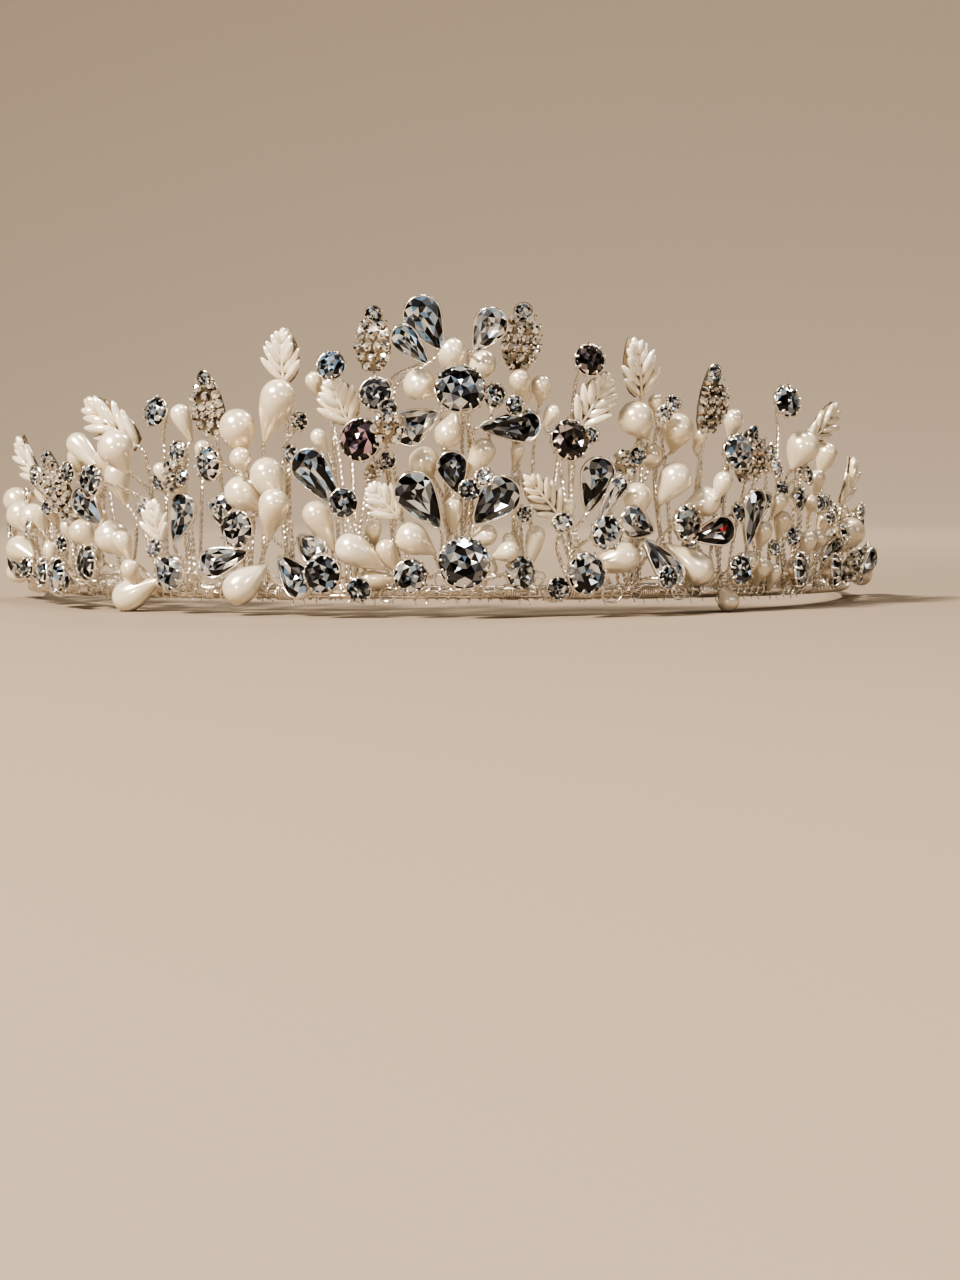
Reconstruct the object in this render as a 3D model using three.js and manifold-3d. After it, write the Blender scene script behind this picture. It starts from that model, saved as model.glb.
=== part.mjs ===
// A bridal tiara: a plain wire band that opens at the back, with seven sprays of wirework lashed along
// its outer side. The sprays carry cut crystals in claw cups, pear cut crystals, drop pearls, cast
// leaves and leaves set with small stones. Millimetres, +Z up, and the front faces -Y.
import * as THREE from 'three';
import { mergeVertices } from 'three/addons/utils/BufferGeometryUtils.js';
import Module from 'manifold-3d';

const wasm = await Module();
wasm.setup();

// The band
const half_width = 69.5;      // from the middle to the widest point of its centreline
const front_depth = 80;       // from the widest point to the front of its centreline
const tail_reach = 46;        // how far the plain ends run behind the widest point
const band_height = 1.9;
const band_thick = 1.1;
const band_drop = 0.6;        // its centreline lies this far under the zero height of the charts
const band_pitch = 7;         // one bend of the wire to the next

// The wirework
const clearance = 0.3;        // between a piece and what carries it, and between two nodes
const rail_width = 1;         // the bundle of wire ends that is lashed along the band
const stem_radius = 0.42;     // one wire
const stem_width = 1.1;       // a stem of wires twisted together
const lashing_width = 1.6;    // a turn of lashing, along the band
const lashing_wall = 0.55;
const lashing_inset = 5;      // from the end of a spray's rail to its outer lashings
const rail_gap = 1.4;         // between one spray's rail and the next
const stem_reach = 2.4;       // a wire joins a stem this close by
const settle_step = 0.4;      // how far a piece is bent forward at a time until it has room

// The settings
const cup_wall = 0.4;
const claw_height = 0.24;     // its tip above the middle of the girdle, share of the stone's width
const claw_reach = 0.48;      // its tip from the stone's axis, share of the stone's width
const leaf_thick = 1.0;
const pave_thick = 1.3;
const pave_stone_width = 1.7;

// Sides of the round forms
const pearl_sides = 10;
const stone_sides = 8;
const wire_sides = 5;

const silver = new THREE.MeshStandardMaterial({ color: 0xc9c5bd, roughness: 0.25, metalness: 1 });
const crystal = new THREE.MeshStandardMaterial({ color: 0xa9adb5, roughness: 0.05, metalness: 0.2 });
const pearl_coat = new THREE.MeshStandardMaterial({ color: 0xf1e9dc, roughness: 0.3, metalness: 0 });
const ivory = new THREE.MeshStandardMaterial({ color: 0xefe6d6, roughness: 0.35, metalness: 0.1 });
const pave_metal = new THREE.MeshStandardMaterial({ color: 0xb9b2a5, roughness: 0.2, metalness: 0.8 });

// Places on the charts: s is millimetres along the band from the middle, to the right as seen from
// the front, h is the height, and out is how far a point stands outside the band's centreline.
// s is measured on a curve that runs chart_out outside the centreline.
const chart_out = 3;
const arc_step = 0.005;
const end_angle = Math.PI / 2 + Math.asin(tail_reach / front_depth);

function oval(angle, grow) {
  const x = (half_width + grow) * Math.sin(angle);
  const y = -(front_depth + grow) * Math.cos(angle);
  return new THREE.Vector2(x, y);
}

const arc_lengths = [0];
for (let angle = arc_step; angle < Math.PI; angle += arc_step) {
  const stride = oval(angle, chart_out).distanceTo(oval(angle - arc_step, chart_out));
  arc_lengths.push(arc_lengths[arc_lengths.length - 1] + stride);
}

function angle_at(s) {
  const reach = Math.abs(s);
  let i = 1;
  while (i < arc_lengths.length - 1 && arc_lengths[i] < reach) i += 1;
  const share = (reach - arc_lengths[i - 1]) / (arc_lengths[i] - arc_lengths[i - 1]);
  return Math.sign(s) * (i - 1 + share) * arc_step;
}

// The axes at a place: x along the band, y up, z outward.
function axes_at_angle(angle) {
  const along = new THREE.Vector3(half_width * Math.cos(angle), front_depth * Math.sin(angle), 0);
  const outward = new THREE.Vector3(Math.sin(angle) / half_width, -Math.cos(angle) / front_depth, 0);
  const centre = oval(angle, 0);
  return {
    along: along.normalize(),
    up: new THREE.Vector3(0, 0, 1),
    outward: outward.normalize(),
    centre: new THREE.Vector3(centre.x, centre.y, 0),
  };
}

function axes_at(s) {
  return axes_at_angle(angle_at(s));
}

function place(s, h, out) {
  const axes = axes_at(s);
  return axes.centre.clone().addScaledVector(axes.outward, out).addScaledVector(axes.up, h);
}

function turned(axes, local) {
  return new THREE.Vector3()
    .addScaledVector(axes.along, local.x)
    .addScaledVector(axes.up, local.y)
    .addScaledVector(axes.outward, local.z);
}

// Closed solids from three.js geometry, or from rings of points that follow one another.
function solid(geometry) {
  const bare = geometry.clone();
  bare.deleteAttribute('normal');
  bare.deleteAttribute('uv');
  const merged = mergeVertices(bare, 1e-4);
  const corner = merged.index.array;
  const kept = [];
  for (let i = 0; i < corner.length; i += 3) {
    const [a, b, c] = [corner[i], corner[i + 1], corner[i + 2]];
    if (a !== b && b !== c && c !== a) kept.push([a, b, c]);
  }
  const points = merged.attributes.position;
  const [p, q, r] = [new THREE.Vector3(), new THREE.Vector3(), new THREE.Vector3()];
  let volume = 0;
  for (const [a, b, c] of kept) {
    p.fromBufferAttribute(points, a);
    q.fromBufferAttribute(points, b);
    r.fromBufferAttribute(points, c);
    volume += p.dot(q.cross(r));
  }
  const facing_out = kept.flatMap(([a, b, c]) => (volume > 0 ? [a, b, c] : [a, c, b]));
  const vertProperties = new Float32Array(points.array);
  const triVerts = new Uint32Array(facing_out);
  return new wasm.Manifold(new wasm.Mesh({ numProp: 3, vertProperties, triVerts }));
}

function loft(rings) {
  const places = rings.flat().flatMap((point) => point.toArray());
  const faces = [];
  const sides = Math.max(...rings.map((ring) => ring.length));
  let start = 0;
  for (let i = 0; i + 1 < rings.length; i += 1) {
    const next = start + rings[i].length;
    for (let k = 0; k < sides; k += 1) {
      const a = start + (k % rings[i].length);
      const b = start + ((k + 1) % rings[i].length);
      const c = next + (k % rings[i + 1].length);
      const d = next + ((k + 1) % rings[i + 1].length);
      faces.push(a, b, d, a, d, c);
    }
    start = next;
  }
  for (let k = 1; k + 1 < rings[0].length; k += 1) faces.push(0, k + 1, k);
  const last = rings[rings.length - 1].length;
  for (let k = 1; k + 1 < last; k += 1) faces.push(start, start + k, start + k + 1);
  const geometry = new THREE.BufferGeometry();
  geometry.setAttribute('position', new THREE.Float32BufferAttribute(places, 3));
  geometry.setIndex(faces);
  return solid(geometry);
}

function turned_form(profile, sides, centre, axis) {
  const points = profile.map(([radius, height]) => new THREE.Vector2(radius, height));
  const geometry = new THREE.LatheGeometry(points, sides);
  geometry.applyQuaternion(new THREE.Quaternion().setFromUnitVectors(new THREE.Vector3(0, 1, 0), axis));
  geometry.translate(centre.x, centre.y, centre.z);
  return solid(geometry);
}

function wire(points, radius) {
  const rings = points.map((point, i) => {
    const before = points[Math.max(i - 1, 0)];
    const after = points[Math.min(i + 1, points.length - 1)];
    const ahead = after.clone().sub(before).normalize();
    const side = new THREE.Vector3(0.31, 0.23, 0.92).cross(ahead).normalize();
    const other = ahead.clone().cross(side);
    return Array.from({ length: wire_sides }, (_, k) => {
      const angle = (2 * Math.PI * k) / wire_sides;
      return point.clone()
        .addScaledVector(side, radius * Math.cos(angle))
        .addScaledVector(other, radius * Math.sin(angle));
    });
  });
  return loft(rings);
}

function node(name, body, material) {
  const { numProp, vertProperties, triVerts } = body.getMesh();
  const geometry = new THREE.BufferGeometry();
  const places = [];
  for (let i = 0; i < vertProperties.length; i += numProp) {
    places.push(vertProperties[i], vertProperties[i + 1], vertProperties[i + 2]);
  }
  geometry.setAttribute('position', new THREE.Float32BufferAttribute(places, 3));
  geometry.setIndex(Array.from(triVerts));
  geometry.computeVertexNormals();
  const mesh = new THREE.Mesh(geometry, material);
  mesh.name = name;
  return mesh;
}

// The band is one flat wire with chamfered corners, rounded off at both ends.
function band() {
  const half_h = band_height / 2;
  const half_t = band_thick / 2;
  const chamfer = band_thick * 0.3;
  const section = [
    [-half_t, half_h - chamfer], [-half_t + chamfer, half_h],
    [half_t - chamfer, half_h], [half_t, half_h - chamfer],
    [half_t, -half_h + chamfer], [half_t - chamfer, -half_h],
    [-half_t + chamfer, -half_h], [-half_t, -half_h + chamfer],
  ];
  const bends = Math.round((2 * end_angle * front_depth) / band_pitch);
  const stations = Array.from({ length: bends + 1 }, (_, i) => [end_angle * ((2 * i) / bends - 1), 0, 1]);
  const [first, last] = [stations[0][0], stations[bends][0]];
  stations.unshift([first, -band_height * 0.32, 0.75], [first, -band_height * 0.45, 0.35]);
  [stations[0], stations[1]] = [stations[1], stations[0]];
  stations.push([last, band_height * 0.32, 0.75], [last, band_height * 0.45, 0.35]);
  const rings = stations.map(([angle, beyond, share]) => {
    const axes = axes_at_angle(angle);
    return section.map(([out, up]) => axes.centre.clone()
      .addScaledVector(axes.along, beyond)
      .addScaledVector(axes.outward, out * share)
      .addScaledVector(axes.up, up * share - band_drop));
  });
  return loft(rings);
}

// Each spray: its name and the stretch of the band, in s, that its rail is lashed to.
const sprays = [
  ['wire_spray_far_left', -109, -77],
  ['wire_spray_left', -77, -47],
  ['wire_spray_mid_left', -47, -22.5],
  ['wire_spray_middle', -22.5, 11.5],
  ['wire_spray_mid_right', 11.5, 34],
  ['wire_spray_right', 34, 61],
  ['wire_spray_far_right', 61, 108],
];
const rail_out = band_thick / 2 + clearance + rail_width / 2;
const rail_height = -band_drop;
const free_out = rail_out + stem_radius + clearance;

// Round crystals. s, h: the centre; width; turn and lift: degrees that it faces to the right and up;
// own: 1 where the stone is loose in a claw cup, 0 where stone and cup are one.
const round_crystals = [
  [-0.7, 3.7, 7, 0, 5, 1],
  [7.4, 2.2, 4.5, 25, 0, 1],
  [15.6, 2.1, 5.6, 10, 0, 1],
  [-1.2, 28.1, 6.8, 0, 22, 1],
  [-14.4, 21.1, 5.7, -8, 5, 1],
  [-12.3, 27.6, 4.3, -5, 10, 1],
  [13.7, 21.1, 5.5, 8, 5, 1],
  [17.3, 7.9, 4.5, 5, 0, 1],
  [32, 9.3, 5, 15, 0, 1],
  [40.3, 19.8, 4.8, -10, 5, 1],
  [58.3, 2.1, 5.2, 20, 0, 1],
  [-44.1, 2.1, 4.8, 0, 0, 1],
  [-63, 3.5, 5, -10, 0, 1],
  [-55, 15.7, 4.4, 0, 5, 1],
  [-37.7, 18, 4.6, -15, 0, 1],
  [-32.3, 8.5, 5, -5, 0, 1],
  [-19.3, 2.1, 5, 0, 0, 1],
  [-70, 1.4, 5.4, -10, 0, 1],
  [-7.8, 1.8, 4.5, 0, 0, 0],
  [-16.6, 12.2, 3.8, 0, 0, 0],
  [42.7, 2.4, 4.2, 0, 0, 0],
  [54.9, 27.9, 4.5, -15, 10, 0],
  [71, 1.9, 5, 15, 0, 0],
  [88, 1.7, 4, 10, 0, 0],
  [-48.3, 25.9, 4, 0, 10, 0],
  [-18.1, 31.5, 3.8, 0, 10, 0],
  [16.2, 32.4, 4.2, 0, 10, 0],
  [-80, 1.6, 4.5, -10, 0, 0],
];

// Pear cut crystals. s, h: the middle of the round head; tip_s, tip_h: where the point aims;
// width, length; own: 1 for a node of its own, 0 where it is one with its wire.
const pear_crystals = [
  [-7.2, 13.8, -3.4, 8.2, 5.5, 9, 1],
  [4.3, 13.2, 0.5, 9.1, 5.5, 8, 1],
  [8, 23.2, 1.8, 23, 4.5, 8.5, 1],
  [-8.1, 22.8, -4.6, 24.9, 5, 7, 1],
  [-6.1, 38.6, -3.8, 34.3, 5.2, 8, 1],
  [2.8, 37.1, 0.5, 33.2, 4.6, 6.5, 1],
  [-22.3, 17.4, -18, 10.8, 5.2, 9.5, 1],
  [18.8, 16.3, 17.7, 10.2, 5, 8, 1],
  [46.7, 12.1, 47.4, 5.5, 4.6, 8.5, 1],
  [-42.1, 11.4, -45.6, 6.3, 4.8, 8, 1],
  [-2.2, 17.4, -1.4, 14, 4.2, 6, 0],
  [-8.3, 35.1, -4.9, 31.5, 3.6, 6.5, 0],
  [-24.2, 0.9, -28, 4.8, 4.6, 7.5, 0],
  [23, 9.5, 27.1, 8.1, 4.6, 6.5, 0],
  [29.8, 2.3, 26.7, 6.5, 4.2, 8, 0],
  [40.6, 8.2, 35.8, 7.2, 4.2, 7, 0],
  [-61.1, 12.5, -58, 9, 5, 6.5, 0],
  [-38.1, 3.6, -32.5, 5.3, 4.2, 7.5, 0],
  [-84, 17, -80.5, 13, 3.5, 6, 0],
  [-97, 3.4, -93, 1, 6, 7, 0],
  [90, 9.5, 86, 6.5, 4.4, 6.5, 0],
  [100, 3.2, 96, 1.2, 4.4, 6.5, 0],
];

// Drop pearls, with the same columns as the pear cut crystals.
const pearls = [
  [-6.6, 28.9, -4, 27.5, 4.8, 5.6, 1],
  [-16.2, 5.7, -10, 1.8, 4.8, 8, 1],
  [24.5, 24.3, 27.5, 21, 5.3, 6.5, 1],
  [23, 4.4, 18.5, 3, 4.4, 8.5, 1],
  [35.2, 2.6, 32, 5.2, 5, 8.5, 1],
  [59.5, 21.1, 57, 16, 5.2, 6.8, 1],
  [-33, 23.2, -33, 18.5, 5.4, 7.5, 1],
  [-26.3, 27.3, -29.5, 21, 5.2, 10, 1],
  [-54.5, -1.5, -49, 1.2, 4.8, 8.5, 1],
  [-2.3, 33.6, -2.2, 29, 4.2, 6.3, 0],
  [2.2, 31.9, 0, 29.8, 3.9, 5.6, 0],
  [-2.7, 21.9, -1.5, 26, 4, 5.5, 0],
  [2.2, 19.6, -0.3, 15, 3.6, 7, 0],
  [-7.8, 7.2, -4.5, 5, 4.6, 6.5, 0],
  [31.6, 23, 31.4, 18, 4.8, 6, 0],
  [31.3, 15.9, 29.5, 12.5, 4.8, 7, 0],
  [25, 13.2, 25, 8.5, 4.2, 6, 0],
  [36.9, 12.5, 32.5, 12, 4.5, 5.5, 0],
  [80, 8, 78, 4, 5, 6, 0],
  [105.5, 0.8, 101, 0, 4, 5.6, 0],
  [-28.7, 16.4, -27, 11, 5, 8.5, 0],
  [-26.3, 12.1, -28, 7, 4.4, 8, 0],
  [-21.5, 10.6, -19.5, 6, 4, 8, 0],
  [-33.2, 0, -29.5, 3.5, 5, 8, 0],
  [-53.4, 20.6, -52, 16.5, 5.4, 7, 0],
  [-67.9, 21.7, -61.5, 15.5, 3.6, 9, 0],
  [-57.9, 7.4, -55, 4, 5.2, 6.5, 0],
  [-86, 10.5, -83, 6, 4.6, 6.5, 0],
  [-93, 11, -90, 6.5, 5, 6.5, 0],
  [-100.5, 13.5, -96, 8, 4.4, 6.5, 0],
  [-90.5, 5.5, -84, 3.5, 4.4, 7, 0],
  [-105.5, 1.5, -101, 0.5, 3.6, 7, 0],
  [42, -2.2, 40.5, 0.5, 3.4, 3.8, 0],
];

// Leaves. s, h: the foot of the leaf; tip_s, tip_h: its point; width; own: 1 for a node of its own;
// stones: how many small stones it is set with, or 0 for a plain cast leaf with a notched edge.
const leaves = [
  [-53.5, 21, -63, 28.5, 7.6, 1, 0],
  [-26.6, 29.5, -25.9, 37.6, 6.5, 1, 0],
  [-16.8, 23.5, -19.4, 30.4, 7, 1, 0],
  [16.4, 23.2, 20.5, 31.2, 6.5, 1, 0],
  [26.2, 27.6, 23.6, 36.4, 6.5, 1, 0],
  [13.2, 10.4, 7.2, 16.4, 5.4, 1, 0],
  [-87, 16.5, -92, 24, 6.2, 1, 0],
  [63.5, 21.5, 70.5, 28.5, 5.6, 1, 0],
  [80, 12.5, 81, 20.5, 5.6, 1, 0],
  [-13.2, 30.8, -12.9, 39.9, 5.6, 1, 3],
  [7.1, 31, 7.7, 40.4, 6, 1, 3],
  [-37.9, 22, -38.8, 31.4, 6, 1, 3],
  [37.8, 22.5, 37.8, 32.6, 5.8, 1, 3],
  [46.5, 15.6, 46.1, 23.6, 7.4, 1, 3],
  [-70, 10, -76.5, 21, 6.4, 1, 3],
  [-9.8, 10.2, -14, 15.2, 6, 0, 0],
  [-48.7, 6.6, -48.5, 13.4, 6, 0, 0],
];

// A round stone's cut, as shares of its width.
const crown_height = 0.2;
const table_share = 0.29;
const girdle_half = 0.05;
const pavilion_depth = 0.42;

function pavilion_slant() {
  return (pavilion_depth - girdle_half) / 0.5;
}

// From the middle of a stone's girdle to the bottom of its cup.
function cup_depth(width) {
  return pavilion_depth * width + clearance * Math.hypot(1, pavilion_slant()) + cup_wall;
}

// A piece is charted flat, in s, h and out, with the spheres that stand for its bulk. Its root is
// where its wire leaves it.
function spray_of(s) {
  const nearest = sprays.findIndex(([, , to]) => s < to);
  return nearest < 0 ? sprays.length - 1 : nearest;
}

function facing(turn, lift) {
  const [t, l] = [THREE.MathUtils.degToRad(turn), THREE.MathUtils.degToRad(lift)];
  return new THREE.Vector3(Math.sin(t) * Math.cos(l), Math.sin(l), Math.cos(t) * Math.cos(l));
}

// The pieces lean on their wires: a stone's or a pearl's point tucks in behind its neighbours and a
// leaf's point leans out.
const tuck = -0.3;
const leaf_lean = 0.16;

function aim(s, h, tip_s, tip_h, lean) {
  const across = new THREE.Vector2(tip_s - s, tip_h - h).normalize();
  return new THREE.Vector3(across.x, across.y, lean).normalize();
}

function round_piece([s, h, width, turn, lift, own]) {
  const axis = facing(turn, lift);
  const depth = cup_depth(width);
  return {
    kind: 'round', s, h, width, axis, own,
    least_out: free_out + depth,
    blobs: [[axis.clone().multiplyScalar(-width * 0.1), width * 0.5 + clearance + cup_wall]],
    root: axis.clone().multiplyScalar(own ? cup_wall / 2 - depth : -width * 0.4),
  };
}

function pear_piece([s, h, tip_s, tip_h, width, length, own]) {
  const axis = aim(s, h, tip_s, tip_h, tuck);
  const reach = length - width / 2;
  const gap = own ? clearance + stem_radius : -width * 0.25;
  return {
    kind: 'pear', s, h, width, length, axis, own,
    least_out: free_out - Math.min(reach * axis.z, -width * 0.4),
    blobs: [
      [new THREE.Vector3(), width * 0.5],
      [axis.clone().multiplyScalar(reach * 0.5), width * 0.34],
    ],
    root: axis.clone().multiplyScalar(reach + gap),
  };
}

function pearl_piece([s, h, tip_s, tip_h, width, length, own]) {
  const axis = aim(s, h, tip_s, tip_h, tuck);
  const reach = length - width / 2;
  const gap = own ? clearance + stem_radius : -reach * 0.3;
  return {
    kind: 'pearl', s, h, width, length, axis, own,
    least_out: free_out - Math.min(reach * axis.z, -width * 0.5),
    blobs: [
      [new THREE.Vector3(), width * 0.5],
      [axis.clone().multiplyScalar(reach * 0.45), width * 0.36],
      [axis.clone().multiplyScalar(reach * 0.8), width * 0.18],
    ],
    root: axis.clone().multiplyScalar(reach + gap),
  };
}

function leaf_piece([s, h, tip_s, tip_h, width, own, stones]) {
  const axis = aim(s, h, tip_s, tip_h, leaf_lean);
  const length = Math.hypot(tip_s - s, tip_h - h);
  const across = new THREE.Vector3(axis.y, -axis.x, 0).normalize();
  const blobs = [];
  for (const [far, wide] of [[0.2, 0.18], [0.45, 0.3], [0.72, 0.2]]) {
    for (const side of [-1, 1]) {
      const middle = axis.clone().multiplyScalar(length * far).addScaledVector(across, side * width * wide);
      blobs.push([middle, width * 0.24]);
    }
  }
  const gap = own ? clearance + stem_radius : -length * 0.12;
  return {
    kind: 'leaf', s, h, width, length, axis, own, stones,
    least_out: free_out + leaf_thick,
    blobs,
    root: axis.clone().multiplyScalar(-gap),
  };
}

// A piece's wire runs back from its root to the layer of stems just outside the band. There it is
// twisted into a stem, which stands straight on the spray's rail, or it ends on the rail itself.
// knees: how far along and how far up it may reach that layer.
const knees = [
  [0, -1.5], [0, -4], [-2.5, -2.5], [2.5, -2.5], [-4.5, -1], [4.5, -1], [0, -7], [-4, -5], [4, -5],
  [-6.5, -3], [6.5, -3], [0, 2.5], [-3, 2], [3, 2],
];
const stems = sprays.map(() => []);

function stem_near(spray, s) {
  return stems[spray].find((stem) => Math.abs(stem.s - s) < stem_reach);
}

function wire_route(piece, [along, up]) {
  const root = new THREE.Vector3(piece.s, piece.h, piece.out).add(piece.root);
  const [, from, to] = sprays[piece.spray];
  const inset = rail_gap / 2 + stem_width;
  const straight = THREE.MathUtils.clamp(root.x + along, from + inset, to - inset);
  const h = Math.max(root.y + up, rail_height);
  if (h < rail_height + rail_width) return [root, new THREE.Vector3(straight, rail_height, rail_out)];
  const stem = stem_near(piece.spray, straight);
  return [root, new THREE.Vector3(stem ? stem.s : straight, h, rail_out)];
}

function plant(piece) {
  const foot = piece.route[1];
  if (foot.y === rail_height) return;
  const stem = stem_near(piece.spray, foot.x);
  if (stem) stem.top = Math.max(stem.top, foot.y);
  else stems[piece.spray].push({ s: foot.x, top: foot.y });
}

function spheres_of(piece) {
  const centre = new THREE.Vector3(piece.s, piece.h, piece.out);
  return piece.blobs.map(([offset, radius]) => [centre.clone().add(offset), radius]);
}

function wire_spheres(route) {
  return [0.35, 0.65, 1].map((share) => [route[0].clone().lerp(route[1], share), stem_radius]);
}

function apart(ones, others) {
  return ones.every(([a, r]) => others.every(([b, q]) => a.distanceTo(b) > r + q + clearance));
}

function has_room(piece, settled) {
  const bulk = spheres_of(piece);
  const wires = wire_spheres(piece.route);
  if (piece.own && !apart(wires, bulk)) return false;
  return settled.every((other) => apart(bulk, other.bulk) && apart(wires, other.bulk)
    && apart(bulk, other.wires) && (other.spray === piece.spray || apart(wires, other.wires)));
}

// Each piece is bent forward on its wire until it and its wire clear the pieces before it.
function settle(pieces) {
  const settled = [];
  for (const piece of pieces) {
    piece.spray = spray_of(piece.s + piece.root.x);
    for (let steps = 0; !piece.free; steps += 1) {
      piece.out = piece.least_out + steps * settle_step;
      piece.free = knees.some((knee) => {
        piece.route = wire_route(piece, knee);
        return has_room(piece, settled);
      });
    }
    piece.bulk = spheres_of(piece);
    piece.wires = wire_spheres(piece.route);
    plant(piece);
    settled.push(piece);
  }
  return settled;
}

// Solids of the pieces, in the axes at their place.
function seat(piece) {
  const axes = axes_at(piece.s);
  return { axes, centre: place(piece.s, piece.h, piece.out), axis: turned(axes, piece.axis) };
}

// The corners of a turned stone or cup. spot gives each corner's radius and height on the axis.
function ring(seated, spot) {
  const first = new THREE.Vector3(0.2, 0.4, 0.9).cross(seated.axis).normalize();
  const second = seated.axis.clone().cross(first);
  return Array.from({ length: stone_sides }, (_, k) => {
    const angle = (2 * Math.PI * k) / stone_sides;
    const [radius, height] = spot(k);
    return seated.centre.clone()
      .addScaledVector(first, radius * Math.cos(angle))
      .addScaledVector(second, radius * Math.sin(angle))
      .addScaledVector(seated.axis, height);
  });
}

function round_stone(piece, seated) {
  const w = piece.width;
  return loft([
    [seated.centre.clone().addScaledVector(seated.axis, -pavilion_depth * w)],
    ring(seated, () => [0.5 * w, -girdle_half * w]),
    ring(seated, () => [0.5 * w, girdle_half * w]),
    ring(seated, () => [table_share * w, crown_height * w]),
  ]);
}

// The cup is a cone that follows the stone's back with the clearance. Every other corner of its rim is
// drawn up into a claw over the stone's edge.
function claw_cup(piece, seated) {
  const w = piece.width;
  const slant = pavilion_slant();
  const inside = 0.5 * w + clearance;
  const rim = clearance * (slant - Math.hypot(1, slant)) - girdle_half * w;
  const spot = (k, wall) => (k % 2
    ? [inside + wall, rim]
    : [claw_reach * w + clearance + wall, claw_height * w + clearance]);
  return loft([
    ring(seated, () => [stem_radius * 1.4, -cup_depth(w)]),
    ring(seated, () => [inside + cup_wall, rim]),
    ring(seated, (k) => spot(k, cup_wall)),
    ring(seated, (k) => spot(k, 0)),
    ring(seated, () => [inside, rim]),
    [seated.centre.clone().addScaledVector(seated.axis, cup_wall - cup_depth(w))],
  ]);
}

// Stone and cup as one solid, for the smaller round crystals.
function stone_in_cup(piece, seated) {
  const w = piece.width;
  const rim = 0.5 * w + cup_wall;
  return loft([
    [seated.centre.clone().addScaledVector(seated.axis, -0.5 * w)],
    ring(seated, () => [rim, -girdle_half * w]),
    ring(seated, () => [rim, girdle_half * w]),
    ring(seated, () => [table_share * w, crown_height * w]),
  ]);
}

// Half of the pear outline, from the head's back to the point: share of the head's radius or of the
// reach along the stone, and share of the half width across it.
const pear_outline = [
  [-1, 0, 0], [-0.7, 0, 0.72], [0.08, 0, 1], [0, 0.52, 0.62], [0, 1, 0],
];

function pear_stone(piece, seated) {
  const half = piece.width / 2;
  const reach = piece.length - half;
  const out = seated.axes.outward;
  const face = out.clone().addScaledVector(seated.axis, -out.dot(seated.axis)).normalize();
  const across = face.clone().cross(seated.axis);
  const outline = (scale, height) => {
    const middle = reach * 0.12;
    const point = ([head, far, wide], side) => seated.centre.clone()
      .addScaledVector(seated.axis, middle + (head * half + far * reach - middle) * scale)
      .addScaledVector(across, side * wide * half * scale)
      .addScaledVector(face, height);
    const right = pear_outline.map((row) => point(row, 1));
    const left = pear_outline.slice(1, -1).reverse().map((row) => point(row, -1));
    return [...right, ...left];
  };
  const culet = seated.centre.clone()
    .addScaledVector(seated.axis, reach * 0.12).addScaledVector(face, -piece.width * 0.36);
  return loft([[culet], outline(1, 0), outline(0.58, piece.width * 0.2)]);
}

function drop_pearl(piece, seated) {
  const w = piece.width;
  const reach = piece.length - w / 2;
  const profile = [
    [0, -0.5 * w], [0.35 * w, -0.36 * w], [0.5 * w, 0], [0.37 * w, reach * 0.42],
    [stem_radius * 1.3, reach], [0, reach],
  ];
  return turned_form(profile, pearl_sides, seated.centre, seated.axis);
}

// Half widths of a leaf along its length, as shares of its length and half width. A cast leaf has
// notches between its lobes.
const cast_edge = [
  [0, 0.16], [0.16, 0.7], [0.26, 0.56], [0.4, 1], [0.5, 0.76], [0.64, 0.84], [0.73, 0.5], [0.86, 0.44],
];
const pave_edge = [[0, 0.3], [0.16, 0.78], [0.42, 1], [0.68, 0.86], [0.9, 0.44]];
const ridged_section = [[1, 0], [0, 0.5], [-1, 0], [0, -0.5]];
const plate_section = [[1, 0.5], [-1, 0.5], [-0.7, -0.5], [0.7, -0.5]];
const leaf_bow = 0.09;

function leaf_solid(piece, seated) {
  const half = piece.width / 2;
  const out = seated.axes.outward;
  const face = out.clone().addScaledVector(seated.axis, -out.dot(seated.axis)).normalize();
  const across = face.clone().cross(seated.axis);
  const thick = piece.stones ? pave_thick : leaf_thick;
  const middle_at = (far) => seated.centre.clone()
    .addScaledVector(seated.axis, piece.length * far)
    .addScaledVector(face, Math.sin(Math.PI * far) * piece.length * leaf_bow);
  const rings = (piece.stones ? pave_edge : cast_edge).map(([far, wide]) => {
    const middle = middle_at(far);
    const corners = piece.stones ? plate_section : ridged_section;
    return corners.map(([side, deep]) => middle.clone()
      .addScaledVector(across, side * wide * half)
      .addScaledVector(face, deep * thick));
  });
  rings.push([middle_at(1)]);
  let body = loft(rings);
  for (let k = 0; k < piece.stones; k += 1) {
    const far = piece.stones > 2 ? 0.18 + (0.66 * k) / (piece.stones - 1) : 0.3 + 0.36 * k;
    const side = piece.stones > 2 ? [-0.36, 0.36][k % 2] * (k < piece.stones - 1 ? 1 : 0) : 0;
    const centre = middle_at(far).addScaledVector(across, side * half).addScaledVector(face, thick * 0.5);
    const w = pave_stone_width;
    const cut = [[0, -0.2 * w], [0.5 * w, -0.1 * w], [0.5 * w, 0.14 * w], [0.28 * w, 0.36 * w], [0, 0.36 * w]];
    body = body.add(turned_form(cut, stone_sides, centre, face));
  }
  return body;
}

const makers = {
  round: (piece, seated) => (piece.own ? round_stone(piece, seated) : stone_in_cup(piece, seated)),
  pear: pear_stone,
  pearl: drop_pearl,
  leaf: leaf_solid,
};

function piece_solid(piece) {
  return makers[piece.kind](piece, seat(piece));
}

function piece_wire(piece) {
  const points = piece.route.map((point) => place(point.x, point.y, point.z));
  const seated = seat(piece);
  points[0] = seated.centre.clone().add(turned(seated.axes, piece.root));
  return wire(points, stem_radius);
}

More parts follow.
